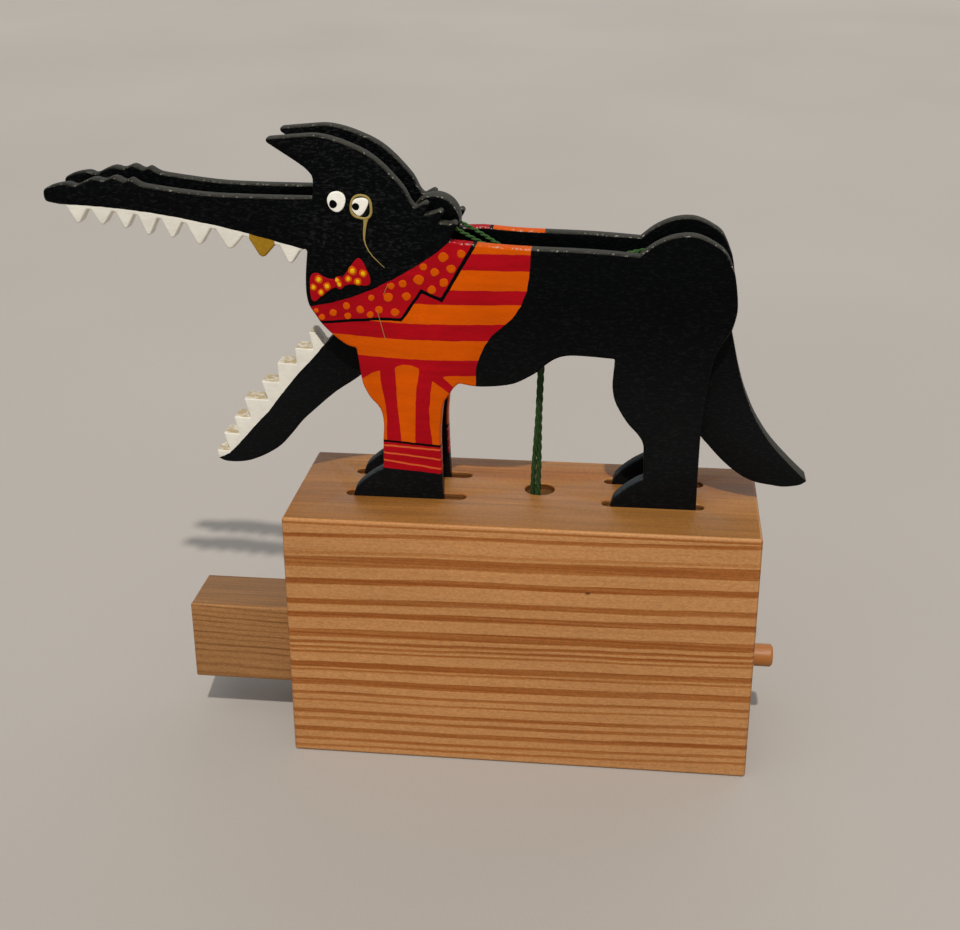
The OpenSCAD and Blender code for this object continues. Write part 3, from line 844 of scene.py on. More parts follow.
@dataclass(frozen=True)
class CordFinish:
    """Twisted green cotton cord, painted lighter high up where the light falls on it."""

    light: Colour = linear(58, 94, 46)
    dark: Colour = linear(5, 17, 6)
    # How much lighter the high stretches are painted for the light that falls on them, and the heights where
    # it comes in
    painted_light: float = 0.75
    painted_light_from: Point2 = (195.0, 212.0)
    roughness: float = 0.78
    sheen: float = 0.2

    def build(self, name: str) -> bpy.types.Material:
        """Makes the material.

        Args:
            name: The material's name.

        Returns:
            The material.
        """
        net = Net(name)
        fibre = net.noise(2.6, 3.0, 0.7, 1.0)
        fuzz = net.noise(0.5, 2.0, 0.5, 4.0)
        colour = net.shade(0.5 + fibre * 1.5 + fuzz * 0.6, [(0.0, self.dark), (1.0, self.light)])
        # Painted light: the cord is lighter towards the top, where it lies in the light
        colour = net.tone(colour, 1.0 + net.spread(net.axes()[2], *self.painted_light_from) * self.painted_light)
        return net.surface(colour, self.roughness, net.relief(fibre, 0.16), {SPECULAR: self.sheen})


@dataclass(frozen=True)
class SteelFinish:
    """Zinc-plated screws."""

    colour: Colour = linear(176, 176, 172)

    def build(self, name: str) -> bpy.types.Material:
        """Makes the material.

        Args:
            name: The material's name.

        Returns:
            The material.
        """
        net = Net(name)
        turned = net.noise((0.8, 0.8, 6.0), 2.0, 0.6, 3.0)
        colour = net.tone(self.colour, 1.0 + turned * 0.3)
        return net.surface(colour, 0.34 + turned * 0.2, net.relief(turned, 0.03), {"Metallic": 1.0})


@dataclass(frozen=True)
class FloorFinish:
    """A pale matt floor."""

    pale: Colour = linear(171, 165, 158)
    roughness: float = 0.92

    def build(self, name: str) -> bpy.types.Material:
        """Makes the material.

        Args:
            name: The material's name.

        Returns:
            The material.
        """
        net = Net(name)
        broad = net.noise((0.0025, 0.0018, 0.002), 2.0, 0.5, 2.0)
        weave = net.noise(1.2, 1.0, 0.5, 5.0)
        colour = net.tone(self.pale, 1.0 + broad * 0.16 + weave * 0.03)
        return net.surface(colour, self.roughness, net.relief(weave, 0.08))


def frames(path: Sequence[Vector]) -> Iterator[tuple[Vector, Vector, Vector]]:
    """Carries two cross directions along a path without turning them about it.

    Args:
        path: The path's points.

    Yields:
        Each point with its two cross directions.
    """
    normal = (path[1] - path[0]).orthogonal().normalized()
    for number, point in enumerate(path):
        way = (path[min(number + 1, len(path) - 1)] - path[max(number - 1, 0)]).normalized()
        normal = (normal - way * normal.dot(way)).normalized()
        yield point, normal, way.cross(normal)


@dataclass
class Build:
    """Points and faces of one piece, gathered from several forms."""

    points: list[Point3] = field(default_factory=list)
    faces: list[Sequence[int]] = field(default_factory=list)

    def tube(self, path: Sequence[Vector], radius: float, sides: int = 8) -> None:
        """Adds a closed tube along a path.

        Args:
            path: Points that the tube follows.
            radius: Its radius.
            sides: Number of its sides.
        """
        start = len(self.points)
        for point, normal, across in frames(path):
            for step in range(sides):
                turn = math.tau * step / sides
                at = point + (normal * math.cos(turn) + across * math.sin(turn)) * radius
                self.points.append(tuple(at))
        self._join(start, len(path), sides)
        last = len(self.points) - sides
        self.faces += [range(start + sides - 1, start - 1, -1), range(last, last + sides)]

    def _join(
        self, start: int, rows: int, count: int, ring: bool = True, closed: bool = False, flip: bool = False
    ) -> None:
        """Joins rows of points with faces of four.

        Args:
            start: Number of the first point.
            rows: Number of rows.
            count: Points in a row.
            ring: Whether a row runs back into its start.
            closed: Whether the last row meets the first.
            flip: Whether the faces look the other way.
        """
        for row in range(rows if closed else rows - 1):
            here, there = start + row * count, start + (row + 1) % rows * count
            for step in range(count if ring else count - 1):
                after = (step + 1) % count
                face = [here + step, here + after, there + after, there + step]
                self.faces.append(face[::-1] if flip else face)


@dataclass
class Brushwork(Build):
    """Forms that are painted on an outer face."""

    side: Side = Side.NEAR
    # Share of a dab's size and of its height, from its foot up to where its crown starts
    dab_steps: Line = ((1.0, -0.02), (0.985, 0.45), (0.94, 0.78))
    # Share of a line's half width and of its height, from edge to edge
    line_steps: Line = ((1.0, -0.02), (0.8, 0.75), (0.0, 1.0), (-0.8, 0.75), (-1.0, -0.02))

    def _add(self, at: Vector, rise: float) -> None:
        """Adds a point at a place on the face, raised from it."""
        self.points.append((at.x, self.side.face + self.side.out * rise, at.y))

    def dab(self, outline: Sequence[Point2], height: float, crown: float = 0.7) -> None:
        """Adds a raised dab of paint.

        Args:
            outline: Its outline, as places along the plate and heights.
            height: How far it stands up.
            crown: Share of its size at which it nearly reaches its full height.
        """
        start, count = len(self.points), len(outline)
        middle = Vector([sum(values) / count for values in zip(*outline)])
        steps = (*self.dab_steps, (crown, 0.96), (crown * 0.5, 1.0))
        for share, rise in steps:
            for point in outline:
                self._add(middle + (Vector(point) - middle) * share, height * rise)
        self._add(middle, height)
        flip = self.side is Side.FAR
        self._join(start, len(steps), count, flip=flip)
        top = len(self.points) - 1
        last = top - count
        for step in range(count):
            face = [last + step, last + (step + 1) % count, top]
            self.faces.append(face[::-1] if flip else face)

    def strip(
        self, path: Sequence[Point2], widths: Sequence[float], height: float, closed: bool = False
    ) -> None:
        """Adds a painted line of changing width.

        Args:
            path: Its middle line.
            widths: Its width at each point.
            height: How far it stands up.
            closed: Whether it runs back into its start.
        """
        start, count = len(self.points), len(path)
        for number, here in enumerate(path):
            ahead = path[(number + 1) % count if closed else min(number + 1, count - 1)]
            behind = path[number - 1 if closed else max(number - 1, 0)]
            way = (Vector(ahead) - Vector(behind)).normalized()
            across = Vector((-way.y, way.x)) * widths[number] / 2
            for share, rise in self.line_steps:
                self._add(Vector(here) + across * share, height * rise)
        self._join(start, count, len(self.line_steps), ring=False, closed=closed, flip=self.side is Side.FAR)


def set_down(name: str, data: bpy.types.ID) -> bpy.types.Object:
    """Puts a mesh, lamp or camera into the scene.

    Args:
        name: The object's name.
        data: What it holds.

    Returns:
        The object.
    """
    made = bpy.data.objects.new(name, data)
    bpy.context.scene.collection.objects.link(made)
    return made


@dataclass
class Shop:
    """Dresses the part's solids, makes meshes and keeps the figure's paint."""

    nodes: Mapping[str, bpy.types.Object]
    paint: PaintFinish = PaintFinish()
    # Steepest edge that is shaded smooth, shallowest one that is eased, and where faces count as flat
    shallow: float = math.radians(32.0)
    sharp: float = math.radians(50.0)
    flat: float = math.radians(0.3)
    # Points nearer than this are one, and nearer than the second lie on the box, in metres
    weld: float = 1e-6
    touch: float = 1e-5

    def __post_init__(self) -> None:
        """Makes the two groups that look at a mesh's edges."""
        self.smooth_edges = self._smooth_edges()
        self.outer_edges = self._outer_edges()

    def _smooth_edges(self) -> bpy.types.NodeTree:
        """Makes the group that shades faces smooth across shallow edges.

        Returns:
            The node group.
        """
        net = Net("smooth_shallow_edges", Owner.MESH)
        shallow = net.node("GeometryNodeInputMeshEdgeAngle") < self.shallow
        piece = net.node("NodeGroupInput")
        for domain, smooth in (("FACE", True), ("EDGE", shallow)):
            feeds = {0: piece, "Shade Smooth": smooth}
            piece = net.node("GeometryNodeSetShadeSmooth", {"domain": domain}, feeds)
        net.node("NodeGroupOutput", feeds={0: piece})
        return net.owner

    def _outer_edges(self) -> bpy.types.NodeTree:
        """Makes the group that marks where two outer sides of a block meet.

        Returns:
            The node group.
        """
        net = Net("mark_outer_edges", Owner.MESH)
        piece = net.node("NodeGroupInput")
        ends = [net.node("GeometryNodeBoundBox", feeds={0: piece}, out=end) for end in ("Min", "Max")]
        box = [net.split(end) for end in ends]
        marked = net.node("GeometryNodeInputMeshEdgeAngle") > self.sharp
        for end in ("Position 1", "Position 2"):
            tip = net.split(net.node("GeometryNodeInputMeshEdgeVertices", out=end))
            inside = [(abs(at - low) & abs(at - high)) > self.touch for at, low, high in zip(tip, *box)]
            marked = marked * (inside[0] + inside[1] + inside[2] < 1.5)
        feeds = {"Geometry": piece, "Name": "bevel_weight_edge", "Value": marked}
        settings = {"data_type": "FLOAT", "domain": "EDGE"}
        net.node("NodeGroupOutput", feeds={0: net.node("GeometryNodeStoreNamedAttribute", settings, feeds)})
        return net.owner

    def dress(self, name: str, material: bpy.types.Material, edge: float, outer: float = 0.0) -> None:
        """Gives a solid its one finish, eases its edges and shades it smooth.

        Args:
            name: The solid's name.
            material: Its finish.
            edge: Rounding of its sharp edges.
            outer: Rounding of the edges where a block's outer sides meet, or nought for none.
        """
        node = self.nodes[name]
        node.data.materials.clear()
        node.data.materials.append(material)
        flat = {"decimate_type": "DISSOLVE", "angle_limit": self.flat}
        steps = [("weld", "WELD", {"merge_threshold": self.weld}), ("flat_faces", "DECIMATE", flat)]
        free = {"use_clamp_overlap": False}
        if outer > 0:
            rounded = {"width": outer * MM, "segments": 4, "limit_method": "WEIGHT", **free}
            steps.append(("outer_edges", "NODES", {"node_group": self.outer_edges}))
            steps.append(("rounded_outer_edges", "BEVEL", rounded))
        eased = {"width": edge * MM, "segments": 3, "limit_method": "ANGLE", **free}
        eased |= {"angle_limit": self.sharp, "miter_outer": "MITER_SHARP"}
        steps.append(("eased_edges", "BEVEL", eased))
        steps.append(("smooth", "NODES", {"node_group": self.smooth_edges}))
        for label, kind, settings in steps:
            step = node.modifiers.new(label, kind)
            for key, value in settings.items():
                setattr(step, key, value)
        LOG.info("dressed %s", name)

    @staticmethod
    def mesh(name: str, build: Build, material: bpy.types.Material) -> bpy.types.Object:
        """Makes an object from points in millimetres.

        Args:
            name: The object's name.
            build: Its points and faces.
            material: Its finish.

        Returns:
            The object.
        """
        data = bpy.data.meshes.new(name)
        data.from_pydata([tuple(c * MM for c in p) for p in build.points], [], build.faces)
        data.validate()
        data.polygons.foreach_set("use_smooth", [True] * len(data.polygons))
        data.materials.append(material)
        LOG.info("made %s: %d faces", name, len(data.polygons))
        return set_down(name, data)


def blob(at: Point2, radii: Point2, hand: random.Random, tilt: float = 0.0, count: int = 28) -> list[Point2]:
    """Outline of a hand-painted spot.

    Args:
        at: Its middle.
        radii: Its half width and half height.
        hand: Source of its unevenness.
        tilt: Turn, in degrees.
        count: Number of points.

    Returns:
        The outline's points.
    """
    waves = [(hand.uniform(0, math.tau), hand.uniform(0.01, 0.045)) for _ in range(3)]
    turn = Matrix.Rotation(math.radians(tilt), 2)
    outline = []
    for step in range(count):
        angle = math.tau * step / count
        uneven = 1 + sum(size * math.sin((n + 2) * angle + start) for n, (start, size) in enumerate(waves))
        reach = Vector((radii[0] * math.cos(angle), radii[1] * math.sin(angle))) * uneven
        outline.append(tuple(Vector(at) + turn @ reach))
    return outline


def smooth_loop(corners: Sequence[Point2], steps: int = 4) -> list[Point2]:
    """Rounds a closed outline through its corners.

    Args:
        corners: The corners in order.
        steps: Points between two corners.

    Returns:
        The rounded outline.
    """
    count = len(corners)
    outline = []
    for number in range(count):
        a, b, c, d = (Vector(corners[(number + k) % count]) for k in (-1, 0, 1, 2))
        for t in (step / steps for step in range(steps)):
            point = b + (c - a) * (t / 2) + (2 * a - 5 * b + 4 * c - d) * (t * t / 2)
            outline.append(tuple(point + (3 * b - a - 3 * c + d) * (t**3 / 2)))
    return outline


@dataclass
class PaintedTrim:
    """What is dabbed onto an outer face: collar spots, bow tie, eyes and eyeglass."""

    side: Side
    # Spots and pupils are a place along the plate, a height and a radius
    spots: tuple[Point3, ...] = (
        (-84.9, 193.7, 1.0), (-82.7, 191.0, 1.3), (-78.0, 193.0, 1.5), (-72.4, 196.0, 1.5),
        (-72.0, 191.8, 1.4), (-66.8, 194.6, 1.6), (-62.8, 192.6, 1.4), (-59.1, 194.8, 1.6),
        (-62.1, 199.7, 1.3), (-55.2, 200.1, 1.9), (-53.9, 204.8, 1.4), (-49.2, 205.9, 1.6),
        (-52.6, 193.9, 1.7), (-47.8, 200.7, 1.75), (-42.7, 207.7, 2.1), (-40.7, 213.0, 1.5),
        (-36.2, 211.0, 1.7), (-37.5, 203.7, 1.75), (-32.6, 206.8, 1.8), (-29.6, 212.5, 1.8),
        (-32.7, 217.2, 2.0), (-25.5, 218.7, 1.7),
    )
    bow_left: Line = (
        (-76.4, 204.0), (-78.4, 202.8), (-80.6, 201.2), (-83.0, 199.3), (-85.0, 197.6), (-86.4, 198.0),
        (-87.0, 200.2), (-87.1, 204.0), (-86.8, 207.4), (-85.6, 209.1), (-83.5, 209.3), (-81.5, 208.1),
        (-79.3, 207.2), (-77.0, 206.8),
    )
    bow_right: Line = (
        (-73.6, 207.8), (-72.4, 209.3), (-70.4, 212.2), (-68.5, 214.7), (-67.0, 215.9), (-65.3, 214.9),
        (-63.8, 211.8), (-62.4, 208.4), (-62.3, 206.0), (-63.4, 204.8), (-65.4, 204.6), (-68.0, 205.0),
        (-71.0, 204.9), (-73.4, 204.4),
    )
    bow_knot: Line = (
        (-76.7, 207.4), (-75.2, 208.3), (-73.6, 207.6), (-72.9, 206.0), (-73.0, 204.2), (-74.4, 202.9),
        (-76.0, 203.4), (-77.0, 205.2),
    )
    bow_spots: tuple[Point3, ...] = (
        (-83.3, 206.7, 1.75), (-85.6, 203.4, 1.45), (-80.0, 204.0, 1.65), (-82.6, 201.4, 1.45),
        (-69.4, 210.7, 1.85), (-65.1, 209.7, 1.65), (-71.2, 207.3, 1.5), (-67.4, 206.3, 1.6),
    )
    knot_spot: tuple[Point2, Point2] = ((-75.2, 205.8), (1.15, 2.2))
    knot_hearts: Line = ((-75.8, 206.6), (-75.0, 204.9))
    knot_heart_radii: Point2 = (0.75, 0.95)
    knot_tilt: float = 24.0
    eye_one: Line = (
        (-74.8, 242.6), (-77.0, 241.9), (-78.3, 240.0), (-78.4, 238.0), (-77.5, 235.8), (-75.8, 234.5),
        (-74.0, 234.4), (-72.3, 235.7), (-71.4, 237.6), (-71.1, 239.4), (-71.6, 241.2), (-73.0, 242.3),
    )
    eye_two: Line = (
        (-65.2, 240.2), (-67.2, 239.7), (-68.5, 238.4), (-69.0, 236.7), (-68.3, 234.8), (-66.9, 233.3),
        (-65.5, 233.0), (-64.1, 234.1), (-62.9, 236.0), (-62.1, 237.9), (-62.1, 239.3), (-63.4, 240.1),
    )
    pupils: tuple[Point3, ...] = ((-76.1, 237.5, 1.7), (-67.1, 236.7, 1.55))
    glass: tuple[Point2, Point2] = ((-64.95, 236.5), (4.25, 4.65))
    glass_width: float = 1.05
    # The chain's points with its width there, and its two ends that show on the collar
    chain: tuple[Point3, ...] = (
        (-63.3, 232.0, 2.3), (-63.5, 230.6, 1.5), (-63.8, 228.6, 1.2), (-64.1, 226.0, 1.0),
        (-64.2, 223.6, 0.7), (-63.7, 221.4, 0.52), (-62.6, 219.0, 0.42), (-61.0, 216.8, 0.34),
        (-58.8, 214.6, 0.26), (-56.4, 212.4, 0.16),
    )
    chain_ends: tuple[Line, ...] = (((-55.0, 205.8), (-57.2, 200.9)), ((-59.9, 194.5), (-56.8, 182.1)))
    chain_end_widths: Point2 = (0.25, 0.2)
    # How far the paint stands up, and the share of a dab's size where its crown starts
    spot_rise: float = 0.16
    bow_rise: float = 0.18
    ring_rise: float = 0.27
    heart_rise: float = 0.34
    eye_rise: float = 0.3
    pupil_rise: float = 0.42
    glass_rise: float = 0.36
    chain_rise: float = 0.3
    chain_end_rise: float = 0.2
    bow_crown: float = 0.85
    eye_crown: float = 0.8
    yellow: Colour = linear(226, 178, 18)
    eye_white: Colour = linear(248, 245, 235)
    gilt: Colour = linear(158, 138, 80)

    def build(self, shop: Shop) -> None:
        """Makes the dabs and puts them on the base.

        Args:
            shop: Maker of the meshes.
        """
        hand = random.Random(self.side.seed)
        spots, bow, rings, hearts = self._collar(hand)
        whites, pupils, gilt = self._face(hand)
        for name, form, paint, colour in (
            ("collar_spots", spots, "spot_paint", ORANGE),
            ("bow_tie", bow, "bow_paint", RED),
            ("bow_spots", rings, "bow_spot_paint", ORANGE),
            ("bow_hearts", hearts, "heart_paint", self.yellow),
            ("eye_whites", whites, "eye_paint", self.eye_white),
            ("pupils", pupils, "pupil_paint", PaintFinish.black),
            ("eyeglass", gilt, "gilt_paint", self.gilt),
        ):
            material = shop.paint.plain(f"{self.side.label}_{paint}", colour)
            piece = shop.mesh(f"{self.side.label}_{name}", form, material)
            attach(piece, Body.BASE.value)

    def _collar(self, hand: random.Random) -> list[Brushwork]:
        """Paints the collar's spots and the bow tie.

        Args:
            hand: Source of unevenness.

        Returns:
            Collar spots, bow, its spots and their hearts.
        """
        spots, bow, rings, hearts = forms = [Brushwork(side=self.side) for _ in range(4)]
        for x, z, radius in self.spots:
            spots.dab(blob((x, z), (radius, radius), hand), self.spot_rise)
        for outline in (self.bow_left, self.bow_right, self.bow_knot):
            bow.dab(smooth_loop(outline), self.bow_rise, self.bow_crown)
        for x, z, radius in self.bow_spots:
            rings.dab(blob((x, z), (radius, radius * 1.05), hand), self.ring_rise)
            hearts.dab(blob((x, z), (radius * 0.55, radius * 0.6), hand), self.heart_rise)
        rings.dab(blob(*self.knot_spot, hand, self.knot_tilt), self.ring_rise)
        for at in self.knot_hearts:
            hearts.dab(blob(at, self.knot_heart_radii, hand, self.knot_tilt), self.heart_rise)
        return forms

    def _face(self, hand: random.Random) -> list[Brushwork]:
        """Paints the eyes, the eyeglass and its chain.

        Args:
            hand: Source of unevenness.

        Returns:
            Eye whites, pupils and eyeglass.
        """
        whites, pupils, gilt = forms = [Brushwork(side=self.side) for _ in range(3)]
        for outline in (self.eye_one, self.eye_two):
            whites.dab(smooth_loop(outline, 3), self.eye_rise, self.eye_crown)
        for x, z, radius in self.pupils:
            pupils.dab(blob((x, z), (radius, radius), hand), self.pupil_rise)
        circle = blob(*self.glass, hand)
        gilt.strip(circle, [self.glass_width] * len(circle), self.glass_rise, closed=True)
        gilt.strip([link[:2] for link in self.chain], [link[2] for link in self.chain], self.chain_rise)
        for end in self.chain_ends:
            gilt.strip(end, self.chain_end_widths, self.chain_end_rise)
        return forms


@dataclass
class SidePlates:
    """The two painted plates with the pins and washers between them."""

    edge: float = 0.9
    pins: tuple[str, ...] = ("jaw_pin", "tail_pin", "front_cord_guide", "rear_cord_guide")
    pin_edge: float = 0.3
    washers: tuple[str, ...] = ("jaw_washers", "tail_washers")
    washer_edge: float = 0.25

    def dress(self, shop: Shop) -> None:
        """Paints the plates and finishes what they hold.

        Args:
            shop: Maker of the meshes.
        """
        for side in Side:
            node = f"{side.label}_side"
            net = Net(f"{node}_paint")
            shop.dress(node, shop.paint.coat(net, Outfit().shades(net, side)), self.edge)
            PaintedTrim(side).build(shop)
        dowel = FineWoodFinish(*DOWEL_WOOD, 1).build("pin_dowel")
        for name in self.pins:
            shop.dress(name, dowel, self.pin_edge)
        washer = FineWoodFinish(linear(214, 178, 130), linear(172, 130, 84), 0).build("washer_ply")
        for name in self.washers:
            shop.dress(name, washer, self.washer_edge)


@dataclass
class Levers:
    """The jaw and the tail that swing between the plates."""

    jaw_edge: float = 0.7
    tail_edge: float = 0.4

    def dress(self, shop: Shop) -> None:
        """Paints the jaw and the tail.

        Args:
            shop: Maker of the meshes.
        """
        jaw = Net("jaw_paint")
        shop.dress("lower_jaw", shop.paint.coat(jaw, JawPaint().shades(jaw)), self.jaw_edge)
        shop.dress("tail", shop.paint.coat(Net("tail_paint"), []), self.tail_edge)


@dataclass
class FirBase:
    """The fir block with its bottom plate and screws."""

    block: BandedWoodFinish = BandedWoodFinish()
    plate: FineWoodFinish = FineWoodFinish(linear(206, 172, 126), linear(160, 118, 76), 0, 0.3)
    block_edge: float = 0.5
    block_outer: float = 1.6
    plate_edge: float = 0.4
    screw_edge: float = 0.2

    def dress(self, shop: Shop) -> None:
        """Finishes the block and its bottom.

        Args:
            shop: Maker of the meshes.
        """
        shop.dress("base_block", self.block.build("fir_block"), self.block_edge, self.block_outer)
        shop.dress("bottom_plate", self.plate.build("bottom_ply"), self.plate_edge)
        shop.dress("bottom_plate_screws", SteelFinish().build("screw_steel"), self.screw_edge)


@dataclass
class SlidingBar:
    """The push bar with its guide rod and peg."""

    bar: BandedWoodFinish = BandedWoodFinish(
        bands=tuple((43.0 + 1.75 * step, 0.12, 0.6 + 0.35 * (step * 7 % 5) / 4) for step in range(35)),
        early=linear(157, 112, 68),
        middle=linear(148, 103, 60),
        late=linear(116, 75, 36),
        top=linear(126, 88, 48),
        top_bands=((-20.0, 0.98), (20.0, 1.02)),
        dull_end=1.0,
        soft=0.5,
        heart=(-60.0, 0.0),
        tilt=0.05,
        level_at=0.0,
        sway=3.0,
        end_face=400.0,
        painted_hollow_shade=1.0,
        knots=(),
    )
    rod: FineWoodFinish = FineWoodFinish(linear(182, 116, 48), linear(144, 84, 32), 0, 0.5, 0.4, 0.45)
    peg: FineWoodFinish = FineWoodFinish(*DOWEL_WOOD, 2)
    bar_edge: float = 0.3
    rod_edge: float = 0.2
    peg_edge: float = 0.4

    def dress(self, shop: Shop) -> None:
        """Finishes the sliding pieces.

        Args:
            shop: Maker of the meshes.
        """
        shop.dress("push_bar", self.bar.build("push_bar_wood"), self.bar_edge)
        shop.dress("guide_rod", self.rod.build("guide_rod_wood"), self.rod_edge)
        shop.dress("cord_peg", self.peg.build("cord_peg_wood"), self.peg_edge)


@dataclass(frozen=True)
class Lay:
    """How a cord is laid: number of plies, radius of one ply and length of one full turn."""

    plies: int
    ply: float
    pitch: float
    squeeze: float = 0.86

    def wind(self, build: Build, route: Sequence[Vector]) -> None:
        """Winds the plies about a route.

        Args:
            build: Where the plies go.
            route: The cord's middle line.
        """
        offset = self.ply * self.squeeze / math.sin(math.pi / self.plies)
        for number in range(self.plies):
            path, run, before = [], 0.0, route[0]
            for point, normal, across in frames(route):
                run, before = run + (point - before).length, point
                angle = math.tau * number / self.plies - math.tau * run / self.pitch
                path.append(point + (normal * math.cos(angle) + across * math.sin(angle)) * offset)
            build.tube(path, self.ply)


@dataclass
class Cords:
    """The green cords from the jaw and the tail down to the peg."""

    shop: Shop
    cord: Lay = Lay(3, 0.57, 13.0)
    strand: Lay = Lay(2, 0.48, 5.2)
    knot_strand: Lay = Lay(2, 0.42, 5.2)
    depth: float = 4.25
    guide_reach: float = 4.25
    guide_steps: int = 8
    front_guide: Point2 = (2.14, 205.5)
    rear_guide: Point2 = (11.46, 205.5)
    jaw_eye: Point2 = (-33.0, 229.0)
    tail_eye: Point2 = (61.0, 219.8)
    eye_steps: int = 24
    eye_reach: float = 6.3
    strand_y: float = 6.1
    strand_close: float = 0.85
    cord_top: float = 6.8
    peg_x: float = 2.2
    cord_side: float = 1.2
    # How far the two cords wind about each other, and in which shares of the drop
    pair_turn: float = math.radians(75.0)
    turned: Point2 = (0.28, 0.62)
    drop_steps: int = 36
    drop_end: float = 62.4
    knot_z: float = 45.95
    knot_r: float = 3.65
    knot_turns: float = 2.6
    knot_steps: int = 78
    knot_rise: float = 1.3
    over_knot: float = 1.2
    step: float = 0.45

    def __post_init__(self) -> None:
        """Makes the finish that all stretches share."""
        self.material = CordFinish().build("green_cord")

    def build(self) -> None:
        """Makes every stretch of cord."""
        self._line("jaw", self.front_guide, self.jaw_eye, -1.0)
        self._line("tail", self.rear_guide, self.tail_eye, 1.0)
        ring = []
        for share in (number / self.knot_steps for number in range(self.knot_steps + 1)):
            angle = math.tau * self.knot_turns * share
            x, y = self.peg_x + self.knot_r * math.cos(angle), self.knot_r * math.sin(angle)
            ring.append(Vector((x, y, self.knot_z + (share - 0.5) * self.knot_rise)))
        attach(self._lay("peg_knot", self.knot_strand, ring, ending="turns"), Body.SLIDER.value)

    def _line(self, label: str, guide: Point2, eye: Point2, side: float) -> None:
        """Makes one cord from its lever to the peg.

        Args:
            label: The lever's name.
            guide: Axis of the dowel that the cord turns over.
            eye: The lever's hole.
            side: Minus one for the jaw's cord, one for the tail's.
        """
        lever = Body(label)
        away = Vector(eye) - Vector(guide)
        wrap = math.atan2(away.y, away.x) + side * math.acos(self.guide_reach / away.length)
        foot = self._on_guide(guide, wrap)

        shares = (number * 2 / self.eye_steps - 1 for number in range(self.eye_steps + 1))
        loop = [self._at(eye, share * self.eye_reach) for share in shares]
        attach(self._lay(f"{label}_cord_loop", self.strand, loop), lever.value)

        strands = [self._dense(self._run(eye, foot, side, hand)) for hand in (-1.0, 1.0)]
        run = self._lay(f"{label}_cord_run", self.strand, *strands)
        self._at(eye) * MM
        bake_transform(run)

        drop = self._lay(f"{label}_cord_drop", self.cord, self._dense(self._drop(guide, wrap, side)))
        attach(drop, Body.BASE.value)

        x = self.peg_x + side * self.cord_side
        points = [
            Vector((x, self.depth, self.drop_end)),
            Vector((x, self.depth - 0.1, (self.drop_end + self.knot_z) / 2)),
            Vector((x, self.knot_r, self.knot_z + self.over_knot)),
        ]
        tie = self._lay(f"{label}_cord_tie", self.cord, self._dense(points))
        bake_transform(tie)

    def _at(self, place: Sequence[float], off: float = 0.0) -> Vector:
        """A place along the block and up, at the cords' depth or off it."""
        return Vector((place[0], self.depth + off, place[1]))

    def _on_guide(self, guide: Point2, angle: float) -> Vector:
        """Where a cord lies on its dowel."""
        return Vector(guide) + Vector((math.cos(angle), math.sin(angle))) * self.guide_reach

    def _run(self, eye: Point2, foot: Vector, side: float, hand: float) -> list[Vector]:
        """The way of one strand from the lever to the dowel.

        Args:
            eye: The lever's hole.
            foot: Where the cord meets the dowel.
            side: Minus one for the jaw's cord, one for the tail's.
            hand: Minus one for the near strand, one for the far.

        Returns:
            The way's points.
        """
        lean = side * self.cord_side * math.sin(self.pair_turn)
        points = []
        for share in (0.0, 1 / 3, 2 / 3, 1.0):
            close = max(share * 3 - 1, 0.0) / 2
            off = hand * (self.strand_y + (self.strand_close - self.strand_y) * close)
            points.append(self._at(Vector(eye).lerp(foot, share), off + lean * close))
        return points

    def _drop(self, guide: Point2, wrap: float, side: float) -> list[Vector]:
        """The way of a cord over its dowel and down into the block.

        Args:
            guide: Axis of the dowel.
            wrap: Angle at which the cord meets the dowel.
            side: Minus one for the jaw's cord, one for the tail's.

        Returns:
            The way's points.
        """
        turn_end = 0.0 if side < 0 else math.pi
        lean = side * self.cord_side * math.sin(self.pair_turn)
        angles = (wrap + (turn_end - wrap) * n / self.guide_steps for n in range(self.guide_steps + 1))
        points = [self._at(self._on_guide(guide, angle), lean) for angle in angles]
        first, last = self.turned
        for number in range(1, self.drop_steps + 1):
            left = 1 - number / self.drop_steps
            part = min(max((left - first) / (last - first), 0.0), 1.0)
            turn = self.pair_turn * part * part * (3 - 2 * part)
            x = self.peg_x + (self.cord_top - self.peg_x) * left + side * self.cord_side * math.cos(turn)
            z = self.drop_end + (guide[1] - self.drop_end) * left
            points.append(self._at((x, z), side * self.cord_side * math.sin(turn)))
        return points

    def _dense(self, points: Sequence[Vector]) -> list[Vector]:
        """Fills a route with evenly spaced points.

        Args:
            points: The route's points.

        Returns:
            Points about one step apart.
        """
        route = [points[0]]
        for start, end in zip(points, points[1:]):
            count = max(int((end - start).length / self.step), 1)
            route += [start.lerp(end, number / count) for number in range(1, count + 1)]
        return route

    def _lay(
        self, node: str, lay: Lay, *routes: Sequence[Vector], ending: str = "plies"
    ) -> bpy.types.Object:
        """Makes the twisted piece that stands for a cord's solid.

        Args:
            node: The solid.
            lay: How the cord is laid.
            routes: Middle lines of its strands.
            ending: End of the piece's name.

        Returns:
            The piece.
        """
        build = Build()
        for route in routes:
            lay.wind(build, route)
        piece = self.shop.mesh(f"{node}_{ending}", build, self.material)
        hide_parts(node)
        return piece


@dataclass(frozen=True)
class Lamp:
    """A distant soft light."""

    name: str
    towards: Point3
    strength: float
    softness: float
    colour: Colour

    def build(self) -> None:
        """Makes the light."""
        data = bpy.data.lights.new(self.name, "SUN")
        data.energy = self.strength
        data.angle = math.radians(self.softness)
        data.color = self.colour
        lamp = set_down(self.name, data)
        lamp.location = Vector(self.towards)
        lamp.rotation_euler = (-Vector(self.towards)).to_track_quat("-Z", "Y").to_euler()


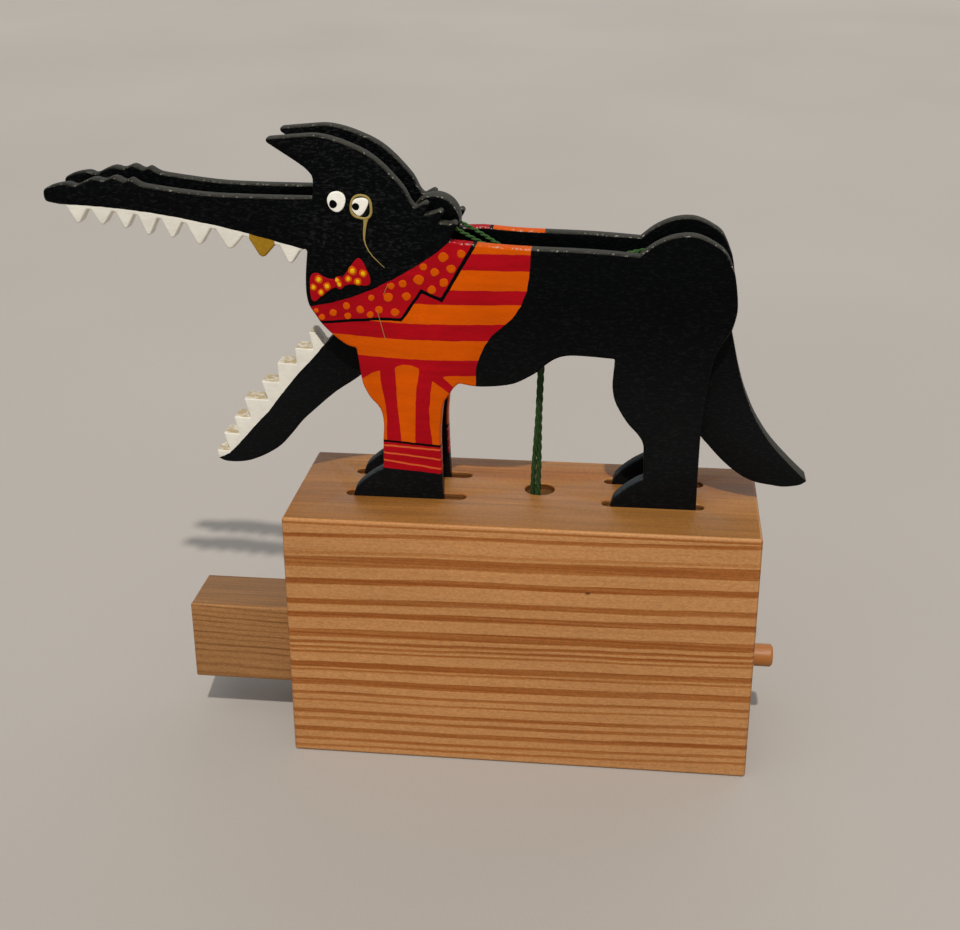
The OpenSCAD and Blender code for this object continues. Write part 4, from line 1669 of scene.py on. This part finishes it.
@dataclass
class Studio:
    """Camera, pale floor and soft lights."""

    camera_at: Point3 = (47.74, -574.55, 368.15)
    azimuth: float = 6.685
    elevation: float = 22.86
    roll: float = -0.227
    focal_pixels: float = 1476.0
    image_width: float = 960.0
    sensor: float = 36.0
    clip_start: float = 10.0
    floor_reach: float = 9000.0
    world: Colour = (0.94, 0.97, 1.0)
    world_strength: float = 0.36
    backdrop: Colour = linear(182, 175, 166)
    lamps: tuple[Lamp, ...] = (
        Lamp("key", (0.05, -0.58, 0.81), 2.25, 1.6, (1.0, 0.95, 0.88)),
        Lamp("fill", (-0.15, -0.45, 0.88), 0.42, 50.0, (1.0, 0.95, 0.89)),
        Lamp("back", (0.25, 0.9, 0.34), 0.8, 80.0, (0.96, 0.97, 1.0)),
    )

    def build(self, shop: Shop) -> None:
        """Makes the studio.

        Args:
            shop: Maker of the meshes.
        """
        self._camera()
        reach = self.floor_reach
        corners = [(-reach, -reach, 0.0), (reach, -reach, 0.0), (reach, reach, 0.0), (-reach, reach, 0.0)]
        shop.mesh("floor", Build(corners, [range(4)]), FloorFinish().build("pale_floor"))
        for lamp in self.lamps:
            lamp.build()
        self._world()

    def _camera(self) -> None:
        """Puts the camera where the photograph was taken."""
        turn, rise, roll = (math.radians(a) for a in (self.azimuth, self.elevation, self.roll))
        back = Vector((math.sin(turn) * math.cos(rise), -math.cos(turn) * math.cos(rise), math.sin(rise)))
        right = (-back).cross(Vector((0, 0, 1))).normalized()
        up = right.cross(-back)
        rolled_right = right * math.cos(roll) + up * math.sin(roll)
        rolled_up = up * math.cos(roll) - right * math.sin(roll)
        data = bpy.data.cameras.new("camera")
        data.sensor_fit = "HORIZONTAL"
        data.sensor_width = self.sensor
        data.lens = self.focal_pixels / self.image_width * self.sensor
        data.clip_start = self.clip_start * MM
        camera = set_down("camera", data)
        axes = Matrix((rolled_right, rolled_up, back)).transposed().to_4x4()
        camera.matrix_world = Matrix.Translation(Vector(self.camera_at) * MM) @ axes
        bpy.context.scene.camera = camera

    def _world(self) -> None:
        """Makes the even light from all round, pale where it is seen."""
        net = Net("studio_light", Owner.WORLD)
        light = {"Color": self.world, "Strength": self.world_strength}
        lit = net.node("ShaderNodeBackground", feeds=light)
        seen = net.node("ShaderNodeBackground", feeds={"Color": self.backdrop, "Strength": 1.0})
        looked_at = net.node("ShaderNodeLightPath", out="Is Camera Ray")
        both = net.node("ShaderNodeMixShader", feeds={0: looked_at, 1: lit, 2: seen})
        net.node("ShaderNodeOutputWorld", feeds={"Surface": both})
        bpy.context.scene.world = net.owner
        bpy.context.scene.view_settings.view_transform = "Standard"


def main() -> None:
    """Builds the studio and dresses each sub-assembly."""
    logging.basicConfig(level=logging.INFO, format="%(name)s %(message)s")
    for leftover in list(bpy.data.objects):
        bpy.data.objects.remove(leftover)
    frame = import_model()
    shop = Shop(frame["nodes"])
    Studio().build(shop)
    Cords(shop).build()
    for sub_assembly in (FirBase(), SlidingBar(), SidePlates(), Levers()):
        sub_assembly.dress(shop)


if __name__ == "__main__":
    main()
